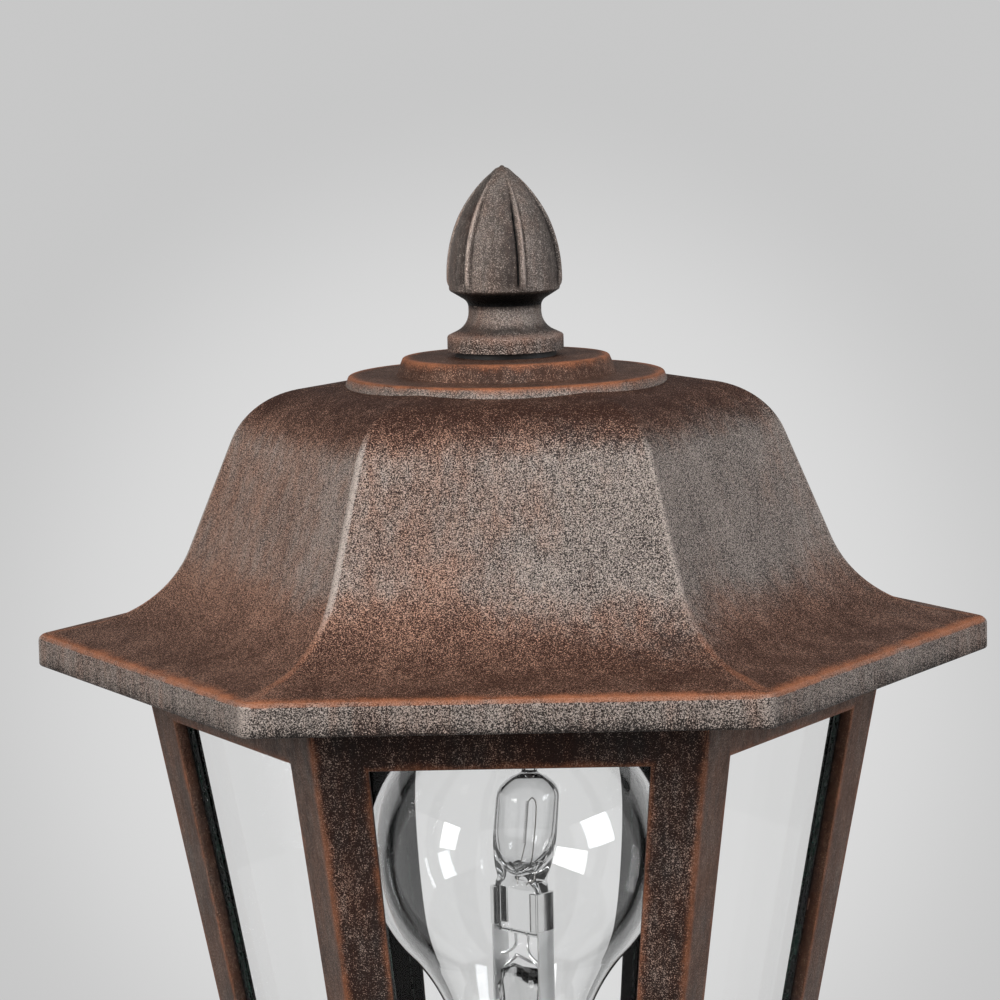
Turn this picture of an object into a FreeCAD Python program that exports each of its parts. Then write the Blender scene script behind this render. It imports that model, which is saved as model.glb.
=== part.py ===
import FreeCAD, Part
import Sketcher
import math
import os
import re

# A hexagonal lantern on a post: ground at z = 0, post on the Z axis, one roof face to the front (-Y).
# Lengths in millimetres, angles in degrees. Every size is written once here and read from the sheet.
SIZES = {
    # foot and pole
    "foot_d": 160,
    "foot_edge": 8,
    "foot_bell_d": 104,
    "foot_bell_rise": 5,
    "foot_flare_round": 16,
    "foot_edge_round": 2.5,
    "foot_waist": 50,
    "foot_height": 78,
    "foot_hollow_d": 96,
    "foot_floor": 8,
    "socket_wall": 6,
    "socket_gap": 0.2,
    "anchor_circle": 130,
    "anchor_hole_d": 9,
    "cable_hole_d": 36,
    "pole_seat": 22,
    "pole_length": 690,
    "pole_d": 60,
    "pole_wall": 2.5,
    # neck casting between pole and lantern
    "neck_height": 46,
    "neck_socket": 34,
    "neck_waist": 22,
    "neck_waist_in": 3.2,
    "neck_waist_round": 10,
    "neck_lip": 7,
    "neck_lip_in": 1,
    "neck_top_wall": 10,
    "neck_hollow_d": 50,
    "neck_bore_d": 24,
    "cast_round": 1.5,
    # lantern cage
    "cage_height": 150.5,
    "cage_foot_flats": 80,
    "cage_top_flats": 130.8,
    "cage_wall": 3,
    "floor_thick": 4,
    "ledge_rise": 7,
    "ledge_width": 5,
    "window_sill": 16,
    "window_head": 16.8,
    "post_foot": 6.9,
    "post_top": 10.1,
    "post_round": 0.8,
    "lug_drop": 4.5,
    "lug_thick": 6,
    "lug_reach": 16,
    "lug_width": 14,
    "lug_wing": 11.2,
    "lug_sink": 1.5,
    # glass
    "pane_thick": 3,
    "pane_lap": 2.5,
    "pane_top_lap": 3.5,
    "pane_gap": 0.3,
    "clip_sheet": 0.8,
    "clip_width": 10,
    "clip_foot": 11,
    "clip_screw_up": 6.6,
    "clip_tongue": 3.2,
    "clip_over": 0.5,
    # roof
    "roof_flats": 164.5,
    "roof_rim": 6.4,
    "roof_rim_round": 1.6,
    "roof_shelf_slope": 11.5,
    "roof_bell_flats": 119.7,
    "roof_side_slope": 19.9,
    "roof_shoulder": 53.6,
    "roof_crown_slope": 6.9,
    "roof_flare_round": 23,
    "roof_shoulder_round": 15.5,
    "roof_ridge_round": 2,
    "roof_wall": 3.2,
    "roof_seat": 6.5,
    "seat_rib": 2.2,
    "seat_width": 4,
    "seat_lip": 3,
    "seat_lip_wall": 2,
    "seat_lip_gap": 0.5,
    "low_step_d": 62.4,
    "low_step_rise": 57.1,
    "high_step_d": 40.8,
    "high_step_rise": 60.5,
    "step_draft": 22,
    "step_round": 0.6,
    # finial and its fixing
    "washer_d": 20,
    "washer_thick": 1.2,
    "finial_d": 21.9,
    "finial_height": 36.3,
    "finial_flange_d": 23,
    "finial_flange": 2.9,
    "finial_neck_d": 14.4,
    "finial_neck_low": 4.9,
    "finial_neck_high": 9.6,
    "finial_waist": 11.9,
    "finial_belly": 14.5,
    "finial_curve": 28,
    "finial_tip_d": 1.6,
    "finial_cove": 2,
    "finial_rib": 0.55,
    "finial_rib_width": 2,
    "finial_rib_end": 2.5,
    "finial_stop_turn": 50,
    "finial_bore_depth": 14,
    "stud_d": 6,
    "stud_gap": 0.05,
    "stud_hole_gap": 0.5,
    "stud_tail": 8,
    "stud_spare": 1.2,
    "stud_nut_flats": 10,
    "stud_nut_thick": 5,
    # bow that carries the stud
    "bow_thick": 2.5,
    "bow_width": 12,
    "bow_foot": 11,
    "bow_rise": 37,
    "bow_crown": 76,
    "bow_bend": 6,
    # screws
    "screw_gap": 0.1,
    "bow_screw_d": 4,
    "bow_screw_in": 10,
    "clip_screw_d": 3,
    "floor_screw_d": 5,
    "floor_screw_in": 9,
    "floor_screw_circle": 58,
    "grub_d": 6,
    "grub_depth": 17,
    "grub_sink": 0.8,
    "terminal_screw_d": 3,
    "terminal_screw_in": 6,
    "terminal_screw_pitch": 18,
    "foot_screw_d": 4,
    "foot_screw_in": 6,
    # lampholder
    "nipple_d": 10,
    "nipple_bore_d": 7,
    "nipple_tail": 7,
    "nipple_nut_flats": 14,
    "nipple_nut_thick": 4,
    "dome_d": 42,
    "dome_foot_d": 30,
    "dome_height": 20,
    "dome_floor": 4,
    "dome_wall": 2,
    "dome_round": 5,
    "insert_foot": 9,
    "insert_top": 18.5,
    "insert_gap": 0.2,
    "contact_d": 10,
    "contact_thick": 1.5,
    "sleeve_height": 23,
    "sleeve_wall": 0.6,
    "sleeve_gap": 0.6,
    "skirt_height": 26,
    "skirt_wall": 3,
    "skirt_lip": 1.8,
    "skirt_mouth_d": 31,
    # bulb
    "bulb_length": 107,
    "bulb_d": 60,
    "bulb_neck_d": 23.4,
    "bulb_neck_curve": 40,
    "bulb_glass_foot": 20,
    "glass_wall": 0.8,
    "cap_d": 26.2,
    "cap_wall": 0.5,
    "cap_foot": 5,
    "cap_height": 22,
    "cap_lip": 3,
    "cap_pitch": 3.63,
    "cap_thread": 0.8,
    "button_d": 9,
    "button_thick": 1.5,
    "insulator_thick": 4,
    "stem_d": 7.2,
    "stem_top": 53,
    "mount_off": 0.9,
    "mount_turn": -45,
    "capsule_d": 12.8,
    "capsule_foot": 70,
    "capsule_foot_round": 4.5,
    "capsule_dome": 92.6,
    "capsule_dome_round": 4.4,
    "capsule_top": 96,
    "capsule_tip_d": 3,
    "capsule_wall": 0.7,
    "capsule_lean": 5,
    "pinch_width": 12.4,
    "pinch_thick": 4,
    "pinch_height": 10,
    "filament_d": 1.6,
    "filament_foot": 77,
    "filament_length": 10,
    "filament_wire_d": 0.6,
    "filament_leg_off": 1.5,
    "strap_width": 4.2,
    "strap_thick": 0.6,
    # wiring
    "lead_d": 5.6,
    "lead_gap": 0.1,
    "lead_entry": 8,
    "block_width": 22,
    "block_depth": 18,
    "block_height": 34,
    "block_foot": 40,
    "bracket_sheet": 1.5,
    "bracket_width": 16,
    "bracket_reach": 26,
    "bracket_bend": 2,
}

doc = FreeCAD.newDocument("lantern_bollard")
sheet = doc.addObject("Spreadsheet::Sheet", "Sizes")
for row, (alias, size) in enumerate(SIZES.items(), start=1):
    sheet.set(f"A{row}", alias)
    sheet.set(f"B{row}", str(size))
    sheet.setAlias(f"B{row}", alias)
doc.recompute()

nodes = []

# Screw heads and their hexagon sockets, for each millimetre of shank
HEAD_FOOT, HEAD_TOP, HEAD_RISE = 0.9, 0.7, 0.6
KEY_FLATS, KEY_FLOOR = 0.6, 0.25

# Ridges of the roof lie within this many degrees of the six corner directions
RIDGE_SPREAD = 0.5

# Turns a rod that stands up so that it lies back along Y
LAID_BACK = FreeCAD.Rotation(FreeCAD.Vector(1, 0, 0), -90)


def formula(text):
    """The text with every size's name pointed at the sheet."""
    return re.sub(r"[a-z_]+", lambda word: "Sizes." + word[0] if word[0] in SIZES else word[0], str(text))


def number(text):
    """What a formula comes to now."""
    return float(sheet.evalExpression(formula(text)))


def bind(thing, **sizes):
    """Ties properties to formulas. A double underscore stands for the dot in a property's path."""
    for path, text in sizes.items():
        thing.setExpression(path.replace("__", "."), formula(text))
    return thing


def keep(thing, label):
    """Gives a finished sub-part its name."""
    thing.Label = label
    nodes.append(thing)
    return thing


# Sketches and the features made from them
def new_body(name):
    return doc.addObject("PartDesign::Body", name + "_body")


def new_sketch(body, name, plane, lift=None):
    """A sketch on one of the body's own planes, lifted off it by a formula."""
    sketch = body.newObject("Sketcher::SketchObject", name)
    sketch.AttachmentSupport = [(role, "") for role in body.Origin.OriginFeatures if role.Role == plane]
    sketch.MapMode = "FlatFace"
    if lift:
        bind(sketch, AttachmentOffset__Base__z=lift)
    return sketch


def pin_point(sketch, geometry, end, across, up):
    """Places one point of the sketch by two formulas; a plain 0 puts it on the axis."""
    for kind, text, axis in (("DistanceX", across, -2), ("DistanceY", up, -1)):
        if text == "0":
            sketch.addConstraint(Sketcher.Constraint("PointOnObject", geometry, end, axis))
        else:
            fix = Sketcher.Constraint(kind, -1, 1, geometry, end, number(text))
            bind(sketch, **{f"Constraints[{sketch.addConstraint(fix)}]": text})


def hold_radius(sketch, geometry, text):
    fix = sketch.addConstraint(Sketcher.Constraint("Radius", geometry, number(text)))
    bind(sketch, **{f"Constraints[{fix}]": text})


def arc_between(start, end, radius):
    """The short arc from start to end: a positive radius bulges to the right, a negative to the left."""
    chord = end - start
    side = FreeCAD.Vector(chord.y, -chord.x, 0).normalize()
    rise = math.sqrt(radius ** 2 - (chord.Length / 2) ** 2)
    centre = (start + end) / 2 - side * math.copysign(rise, radius)
    first, last = (start, end) if radius > 0 else (end, start)
    angles = [math.atan2(point.y - centre.y, point.x - centre.x) for point in (first, last)]
    return Part.ArcOfCircle(Part.Circle(centre, FreeCAD.Vector(0, 0, 1), abs(radius)), *angles)


def draw(sketch, corners, closed=True):
    """Draws an outline through corners (across, up), (across, up, round) or (across, up, None, bulge).

    A round is a fillet between the two straight sides at a corner. A bulge makes the side that
    leaves the corner an arc of that radius. All are formulas.
    """
    corners = [tuple(corner) + (None,) * (4 - len(corner)) for corner in corners]
    count = len(corners)
    points = [FreeCAD.Vector(number(across), number(up), 0) for across, up, _, _ in corners]
    joined = range(count) if closed else range(1, count - 1)
    cuts = {}
    for i in joined:
        if corners[i][2]:
            before = (points[i - 1] - points[i]).normalize()
            after = (points[(i + 1) % count] - points[i]).normalize()
            back = number(corners[i][2]) / math.tan(before.getAngle(after) / 2)
            cuts[i] = (points[i] + before * back, points[i] + after * back)
    sides = []
    for i in range(count if closed else count - 1):
        start = cuts[i][1] if i in cuts else points[i]
        after = (i + 1) % count
        end = cuts[after][0] if after in cuts else points[after]
        bulge = corners[i][3]
        side = arc_between(start, end, number(bulge)) if bulge else Part.LineSegment(start, end)
        geometry = sketch.addGeometry(side)
        turned = bool(bulge) and number(bulge) < 0
        sides.append((geometry, 2 if turned else 1, 1 if turned else 2))
        if bulge:
            hold_radius(sketch, geometry, f"abs({bulge})")
    for i in range(count):
        across, up, rounding, _ = corners[i]
        leaving = sides[i] if i < len(sides) else None
        arriving = sides[i - 1] if i or closed else None
        if i in cuts:
            turn = (points[i] - points[i - 1]).cross(points[(i + 1) % count] - points[i]).z
            arc = sketch.addGeometry(arc_between(*cuts[i], math.copysign(number(rounding), turn)))
            peak = sketch.addGeometry(Part.Point(points[i]), True)
            first, last = (1, 2) if turn > 0 else (2, 1)
            sketch.addConstraint(Sketcher.Constraint("PointOnObject", peak, 1, arriving[0]))
            sketch.addConstraint(Sketcher.Constraint("PointOnObject", peak, 1, leaving[0]))
            sketch.addConstraint(Sketcher.Constraint("Tangent", arriving[0], arriving[2], arc, first))
            sketch.addConstraint(Sketcher.Constraint("Tangent", arc, last, leaving[0], leaving[1]))
            hold_radius(sketch, arc, rounding)
            pin_point(sketch, peak, 1, across, up)
            continue
        if leaving and arriving:
            ends = (arriving[0], arriving[2], leaving[0], leaving[1])
            sketch.addConstraint(Sketcher.Constraint("Coincident", *ends))
        held = (leaving[0], leaving[1]) if leaving else (arriving[0], arriving[2])
        pin_point(sketch, *held, across, up)
    return sketch


def draw_circle(sketch, across, up, diameter):
    centre = FreeCAD.Vector(number(across), number(up), 0)
    circle = Part.Circle(centre, FreeCAD.Vector(0, 0, 1), number(diameter) / 2)
    geometry = sketch.addGeometry(circle)
    hold_radius(sketch, geometry, f"({diameter}) / 2")
    pin_point(sketch, geometry, 3, across, up)
    return sketch


def hexagon(flats, rounding=None):
    """Corners of a hexagon with flats to the front and back."""
    half, corner = f"({flats}) / 2", f"({flats}) / sqrt(3)"
    right = [(f"{corner} / 2", f"-{half}"), (corner, "0"), (f"{corner} / 2", half)]
    left = [(f"-{corner} / 2", half), (f"-{corner}", "0"), (f"-{corner} / 2", f"-{half}")]
    return [(across, up, rounding) for across, up in right + left]


def pad(body, sketch, length, **options):
    made = body.newObject("PartDesign::Pad", sketch.Name + "_pad")
    made.Profile = sketch
    for option, choice in options.items():
        setattr(made, option, choice)
    bind(made, Length=length)
    doc.recompute()
    return made


def drill(body, sketch):
    """Cuts the sketch through everything, both ways."""
    made = body.newObject("PartDesign::Pocket", sketch.Name + "_cut")
    made.Profile = sketch
    made.Type = "ThroughAll"
    made.Midplane = True
    doc.recompute()
    return made


def sink(body, sketch, depth):
    """Cuts the sketch down by a depth."""
    made = body.newObject("PartDesign::Pocket", sketch.Name + "_cut")
    made.Profile = sketch
    bind(made, Length=depth)
    doc.recompute()
    return made


def repeat(body, feature, count):
    """Copies a feature evenly round the Z axis."""
    made = body.newObject("PartDesign::PolarPattern", feature.Name + "_round")
    made.Originals = [feature]
    made.Axis = ([role for role in body.Origin.OriginFeatures if role.Role == "Z_Axis"][0], [""])
    made.Angle = 360
    made.Occurrences = count
    body.Tip = made
    doc.recompute()
    return made


def turned(name, corners):
    """A body turned round the Z axis from an outline (radius, height)."""
    body = new_body(name)
    sketch = draw(new_sketch(body, name + "_outline", "XZ_Plane"), corners)
    made = body.newObject("PartDesign::Revolution", name + "_turned")
    made.Profile = sketch
    made.ReferenceAxis = (sketch, ["V_Axis"])
    made.Angle = 360
    doc.recompute()
    return body


# Primitives and booleans
def rod(name, diameter, length, place=None, **base):
    made = doc.addObject("Part::Cylinder", name)
    if place:
        made.Placement = place
    return bind(made, Radius=f"({diameter}) / 2", Height=length, **base)


def prism(name, flats, height, place=None, **base):
    made = doc.addObject("Part::Prism", name)
    made.Polygon = 6
    if place:
        made.Placement = place
    return bind(made, Circumradius=f"({flats}) / sqrt(3)", Height=height, **base)


def block(name, width, depth, height, across, up):
    """A box centred over a point."""
    made = doc.addObject("Part::Box", name)
    bind(made, Length=width, Width=depth, Height=height)
    return bind(made, Placement__Base__x=f"{across} - ({width}) / 2", Placement__Base__y=f"-({depth}) / 2",
                Placement__Base__z=up)


def cut(name, base, tool):
    made = doc.addObject("Part::Cut", name)
    made.Base = base
    made.Tool = tool
    doc.recompute()
    return made


def fuse(name, *shapes):
    made = doc.addObject("Part::MultiFuse", name)
    made.Shapes = list(shapes)
    doc.recompute()
    return made


def group(name, solids):
    """Separate solids that share one node."""
    made = doc.addObject("Part::Compound", name)
    made.Links = list(solids)
    doc.recompute()
    return made


def spot(across, depth, up, turn=0, lean=0):
    """A place given by formulas, turned about Z by a whole step and leaning on X."""
    spin = FreeCAD.Rotation(FreeCAD.Vector(0, 0, 1), turn)
    lean = FreeCAD.Rotation(FreeCAD.Vector(1, 0, 0), lean)
    base = FreeCAD.Vector(number(across), number(depth), number(up))
    return FreeCAD.Placement(spin.multVec(base), spin.multiply(lean))


def screw(name, diameter, length, place):
    """A socket screw whose head rests on the place and whose shank goes down from there."""
    down = FreeCAD.Placement(FreeCAD.Vector(0, 0, -number(length)), FreeCAD.Rotation())
    shank = rod(name + "_shank", diameter, length, place.multiply(down))
    head = doc.addObject("Part::Cone", name + "_head")
    head.Placement = place
    bind(head, Radius1=f"{diameter} * {HEAD_FOOT}", Radius2=f"{diameter} * {HEAD_TOP}")
    bind(head, Height=f"{diameter} * {HEAD_RISE}")
    floor = FreeCAD.Placement(FreeCAD.Vector(0, 0, number(f"{diameter} * {KEY_FLOOR}")), FreeCAD.Rotation())
    socket = prism(name + "_socket", f"{diameter} * {KEY_FLATS}", diameter, place.multiply(floor))
    return cut(name, fuse(name + "_blank", shank, head), socket)


def nut(name, flats, thick, hole, up):
    blank = prism(name + "_blank", flats, thick, Placement__Base__z=up)
    return cut(name, blank, rod(name + "_hole", hole, thick, Placement__Base__z=up))


# Heights that the pieces share, from the ground up
POLE_TOP = "(pole_seat + pole_length)"
CAGE_FOOT = f"({POLE_TOP} + neck_height)"
FLOOR = f"({CAGE_FOOT} + floor_thick)"
LEDGE = f"({FLOOR} + ledge_rise)"
CAGE_TOP = f"({CAGE_FOOT} + cage_height)"
SILL = f"({CAGE_FOOT} + window_sill)"
HEAD = f"({CAGE_TOP} - window_head)"
LUG_TOP = f"({CAGE_TOP} - lug_drop)"
CROWN = f"({LUG_TOP} + bow_thick / 2 + bow_rise)"
RIM = f"({CAGE_TOP} - roof_seat)"
ROOF_TOP = f"({RIM} + high_step_rise)"
FINIAL = f"({ROOF_TOP} + washer_thick)"
DOME = f"({FLOOR} + nipple_nut_thick)"
BULB = f"({DOME} + insert_top + contact_thick)"
BLOCK = "(pole_seat + block_foot)"

# How far a cage face leans out for each millimetre it rises, and how much longer it is for that
LEAN = "((cage_top_flats - cage_foot_flats) / 2 / cage_height)"
SLANT = f"sqrt(1 + {LEAN} ^ 2)"


def cage_flats(up):
    """Across the cage's outer faces at a height."""
    return f"(cage_foot_flats + 2 * {LEAN} * ({up} - {CAGE_FOOT}))"


def cage_inside(up):
    """Across the cage's inner faces at a height."""
    return f"({cage_flats(up)} - 2 * cage_wall * {SLANT})"


def window_half(up):
    """Half a window's width at a height: its edges run straight from sill to head."""
    foot = f"({cage_flats(SILL)} / 2 * tan(30) - post_foot)"
    top = f"({cage_flats(HEAD)} / 2 * tan(30) - post_top)"
    return f"({foot} + ({top} - {foot}) * ({up} - {SILL}) / ({HEAD} - {SILL}))"


LUG_CORNER = f"({cage_inside(LUG_TOP)} / sqrt(3))"
BOW_SCREW = f"({LUG_CORNER} - bow_screw_in)"
SOCKET = "(pole_d / 2 + socket_gap)"
FLOOR_SCREW_TURNS = (-30, 90, 210)
BRACKET_SCREW = "((cable_hole_d / 2 + pole_d / 2 - pole_wall) / 2)"
BLOCK_SCREWS = [f"{BLOCK} + block_height / 2 {side} terminal_screw_pitch / 2" for side in "-+"]
PANE_TOP = f"({HEAD} + pane_top_lap)"
PANE_LENGTH = f"(({PANE_TOP} - {LEDGE}) * {SLANT})"
CLIP_SCREW = f"({PANE_LENGTH} + clip_over + clip_screw_up)"
PANES = ("front", "front_right", "back_right", "back", "back_left", "front_left")


# Post
def set_screws(name, up):
    """Three set screws that press on the pole through a socket's wall. Returns the cutter for their holes."""
    reach = "(socket_gap + socket_wall)"
    screws, holes = [], []
    for k in range(3):
        place = spot("0", "pole_d / 2", up, 60 + 120 * k, -90)
        mouth = FreeCAD.Vector(0, 0, number(f"{reach} - grub_sink - grub_d / 2"))
        key = place.multiply(FreeCAD.Placement(mouth, FreeCAD.Rotation()))
        shank = rod(f"{name}_{k}_shank", "grub_d", f"{reach} - grub_sink", place)
        screws.append(cut(f"{name}_{k}", shank, prism(f"{name}_{k}_key", "grub_d / 2", "grub_d", key)))
        holes.append(rod(f"{name}_{k}_hole", "grub_d + 2 * screw_gap", f"{reach} + grub_d", place))
    keep(group(name, screws), name)
    return fuse(name + "_holes", *holes)


def make_foot():
    collar = f"({SOCKET} + socket_wall)"
    under = "(pole_seat - foot_floor)"
    body = turned("foot_casting", [
        ("foot_hollow_d / 2", "0"),
        ("foot_d / 2", "0"),
        ("foot_d / 2", "foot_edge", "foot_edge_round"),
        ("foot_bell_d / 2", "foot_edge + foot_bell_rise", "foot_flare_round"),
        (collar, "foot_waist"),
        (collar, "foot_height", "cast_round"),
        (SOCKET, "foot_height"),
        (SOCKET, "pole_seat"),
        ("cable_hole_d / 2", "pole_seat"),
        ("cable_hole_d / 2", under),
        ("foot_hollow_d / 2", under),
    ])
    anchor = new_sketch(body, "anchor_hole", "XY_Plane")
    repeat(body, drill(body, draw_circle(anchor, "0", "anchor_circle / 2", "anchor_hole_d")), 3)
    tapped = rod("bracket_screw_hole", "foot_screw_d + 2 * screw_gap", "foot_floor",
                 spot("0", BRACKET_SCREW, under))
    holes = fuse("foot_holes", set_screws("foot_screws", "foot_height - grub_depth"), tapped)
    keep(cut("foot", body, holes), "foot")


def make_pole():
    inside = "(pole_d / 2 - pole_wall)"
    edges = [(inside, "pole_seat"), ("pole_d / 2", "pole_seat"), ("pole_d / 2", POLE_TOP), (inside, POLE_TOP)]
    keep(turned("pole", edges), "pole")


def make_neck():
    collar = f"({SOCKET} + socket_wall)"
    lip = "(cage_foot_flats / 2 - neck_lip_in)"
    ceiling = f"({CAGE_FOOT} - neck_top_wall)"
    body = turned("neck_casting", [
        ("neck_bore_d / 2", CAGE_FOOT),
        (lip, CAGE_FOOT),
        (lip, f"{CAGE_FOOT} - neck_lip", "cast_round"),
        (f"{collar} - neck_waist_in", f"{POLE_TOP} + neck_waist", "neck_waist_round"),
        (collar, f"{POLE_TOP} + cast_round", "cast_round"),
        (collar, f"{POLE_TOP} - neck_socket", "cast_round"),
        (SOCKET, f"{POLE_TOP} - neck_socket"),
        (SOCKET, POLE_TOP),
        ("neck_hollow_d / 2", POLE_TOP),
        ("neck_hollow_d / 2", ceiling),
        ("neck_bore_d / 2", ceiling),
    ])
    tapped = [rod(f"neck_tapped_{turn}", "floor_screw_d + 2 * screw_gap", "floor_screw_in",
                  spot("0", "floor_screw_circle / 2", f"{CAGE_FOOT} - floor_screw_in", turn))
              for turn in FLOOR_SCREW_TURNS]
    holes = fuse("neck_holes", set_screws("neck_screws", f"{POLE_TOP} - grub_depth"), *tapped)
    keep(cut("neck", body, holes), "neck")


# Wiring in the post
def make_wiring():
    back = "(block_depth / 2 + bracket_sheet)"
    bracket = new_body("bracket")
    profile = draw(new_sketch(bracket, "bracket_outline", "YZ_Plane"), [
        ("block_depth / 2", "pole_seat", "bracket_bend + bracket_sheet"),
        ("bracket_reach", "pole_seat"),
        ("bracket_reach", "pole_seat + bracket_sheet"),
        (back, "pole_seat + bracket_sheet", "bracket_bend"),
        (back, f"{BLOCK} + block_height"),
        ("block_depth / 2", f"{BLOCK} + block_height"),
    ])
    pad(bracket, profile, "bracket_width", Midplane=True)
    foot_place = spot("0", BRACKET_SCREW, "pole_seat + bracket_sheet")
    rears = [spot("0", back, up, 0, -90) for up in BLOCK_SCREWS]
    shafts = []
    for k, up in enumerate(BLOCK_SCREWS):
        start = spot("0", "block_depth / 2 - terminal_screw_in", up, 0, -90)
        shafts.append(rod(f"block_screw_{k}_hole", "terminal_screw_d + 2 * screw_gap",
                          "bracket_sheet + terminal_screw_in", start))
    clear = rod("bracket_foot_hole", "foot_screw_d + 2 * screw_gap", "bracket_sheet",
                spot("0", BRACKET_SCREW, "pole_seat"))
    keep(cut("terminal_bracket", bracket, fuse("bracket_holes", clear, *shafts)), "terminal_bracket")
    length = "bracket_sheet + foot_screw_in"
    keep(screw("bracket_screw", "foot_screw_d", length, foot_place), "bracket_screw")
    length = "bracket_sheet + terminal_screw_in"
    screws = [screw(f"terminal_screw_{k}", "terminal_screw_d", length, place)
              for k, place in enumerate(rears)]
    keep(group("terminal_screws", screws), "terminal_screws")
    housing = new_body("terminal_housing")
    half, deep = "block_width / 2", "block_depth / 2"
    pad(housing, draw(new_sketch(housing, "block_outline", "XY_Plane", BLOCK), [
        (f"-{half}", f"-{deep}", "cast_round"),
        (half, f"-{deep}", "cast_round"),
        (half, deep),
        (f"-{half}", deep),
    ]), "block_height")
    entry = rod("lead_entry_hole", "lead_d + 2 * lead_gap", "lead_entry",
                spot("0", "0", f"{BLOCK} + block_height - lead_entry"))
    supply = [rod(f"supply_hole_{k}", "lead_d", "lead_entry", spot(f"{k} * block_width / 4", "0", BLOCK))
              for k in (-1, 1)]
    keep(cut("terminal_block", housing, fuse("block_holes", entry, *supply, *shafts)), "terminal_block")
    start = f"({BLOCK} + block_height - lead_entry)"
    length = f"{DOME} + dome_floor + cast_round - {start}"
    keep(rod("lamp_lead", "lead_d", length, Placement__Base__z=start), "lamp_lead")


# Lantern cage, its glass and the clips that hold it
def pane_spot(turn):
    """Where a pane stands: its outer face's foot, leaning out with the wall."""
    depth = f"-({cage_inside(LEDGE)} / 2 - pane_gap * {SLANT})"
    return spot("0", depth, LEDGE, turn, number(f"atan({LEAN})"))


def loft(body, name, kind, foot, top):
    made = body.newObject(f"PartDesign::{kind}Loft", name)
    made.Profile = foot
    made.Sections = [top]
    made.Ruled = True
    doc.recompute()
    return made


def make_cage():
    body = new_body("cage")
    foot = new_sketch(body, "cage_foot", "XY_Plane", CAGE_FOOT)
    draw(foot, hexagon("cage_foot_flats", "post_round"))
    top = new_sketch(body, "cage_top", "XY_Plane", CAGE_TOP)
    draw(top, hexagon("cage_top_flats", "post_round"))
    loft(body, "cage_outside", "Additive", foot, top)
    foot = draw(new_sketch(body, "cage_ledge", "XY_Plane", LEDGE), hexagon(cage_inside(LEDGE)))
    top = draw(new_sketch(body, "cage_mouth", "XY_Plane", CAGE_TOP), hexagon(cage_inside(CAGE_TOP)))
    loft(body, "cage_inside", "Subtractive", foot, top)
    well = new_sketch(body, "cage_well", "XY_Plane", LEDGE)
    sink(body, draw(well, hexagon(f"{cage_inside(LEDGE)} - 2 * ledge_width")), "ledge_rise")
    tip = f"({LUG_CORNER} + lug_sink)"
    lug = draw(new_sketch(body, "lug", "XY_Plane", f"{LUG_TOP} - lug_thick"), [
        (tip, "0"),
        (f"{tip} - lug_wing * tan(30)", "lug_wing"),
        (f"{LUG_CORNER} - lug_reach", "lug_width / 2"),
        (f"{LUG_CORNER} - lug_reach", "-lug_width / 2"),
        (f"{tip} - lug_wing * tan(30)", "-lug_wing"),
    ])
    repeat(body, pad(body, lug, "lug_thick"), 2)
    tapped = new_sketch(body, "lug_tapped", "XY_Plane", LUG_TOP)
    draw_circle(tapped, BOW_SCREW, "0", "bow_screw_d + 2 * screw_gap")
    repeat(body, sink(body, tapped, "lug_thick"), 2)
    window = draw(new_sketch(body, "window", "XZ_Plane"), [
        (f"-{window_half(SILL)}", SILL),
        (window_half(SILL), SILL),
        (window_half(HEAD), HEAD),
        (f"-{window_half(HEAD)}", HEAD),
    ])
    opening = body.newObject("PartDesign::Pocket", "window_cut")
    opening.Profile = window
    opening.Type = "ThroughAll"
    doc.recompute()
    repeat(body, opening, 6)
    nipple = new_sketch(body, "nipple_hole", "XY_Plane", FLOOR)
    sink(body, draw_circle(nipple, "0", "0", "nipple_d + 2 * screw_gap"), "floor_thick")
    fixing = new_sketch(body, "floor_hole", "XY_Plane", FLOOR)
    draw_circle(fixing, "-floor_screw_circle / 2", "0", "floor_screw_d + 2 * screw_gap")
    repeat(body, sink(body, fixing, "floor_thick"), 3)
    holes = []
    for k in range(len(PANES)):
        through = FreeCAD.Vector(0, -number("pane_gap + 2 * cage_wall"), number(CLIP_SCREW))
        place = pane_spot(60 * k).multiply(FreeCAD.Placement(through, LAID_BACK))
        holes.append(rod(f"clip_hole_{k}", "clip_screw_d + 2 * screw_gap", "3 * cage_wall", place))
    keep(cut("lantern_cage", body, fuse("clip_holes", *holes)), "lantern_cage")


def make_panes():
    foot, top = f"({window_half(LEDGE)} + pane_lap)", f"({window_half(PANE_TOP)} + pane_lap)"
    for k, side in enumerate(PANES):
        body = new_body(f"pane_{side}")
        outline = new_sketch(body, f"pane_{side}_outline", "XZ_Plane")
        draw(outline, [(f"-{foot}", "0"), (foot, "0"), (top, PANE_LENGTH), (f"-{top}", PANE_LENGTH)])
        pad(body, outline, "pane_thick", Reversed=True)
        body.Placement = pane_spot(60 * k)
        keep(body, f"pane_{side}")


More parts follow.
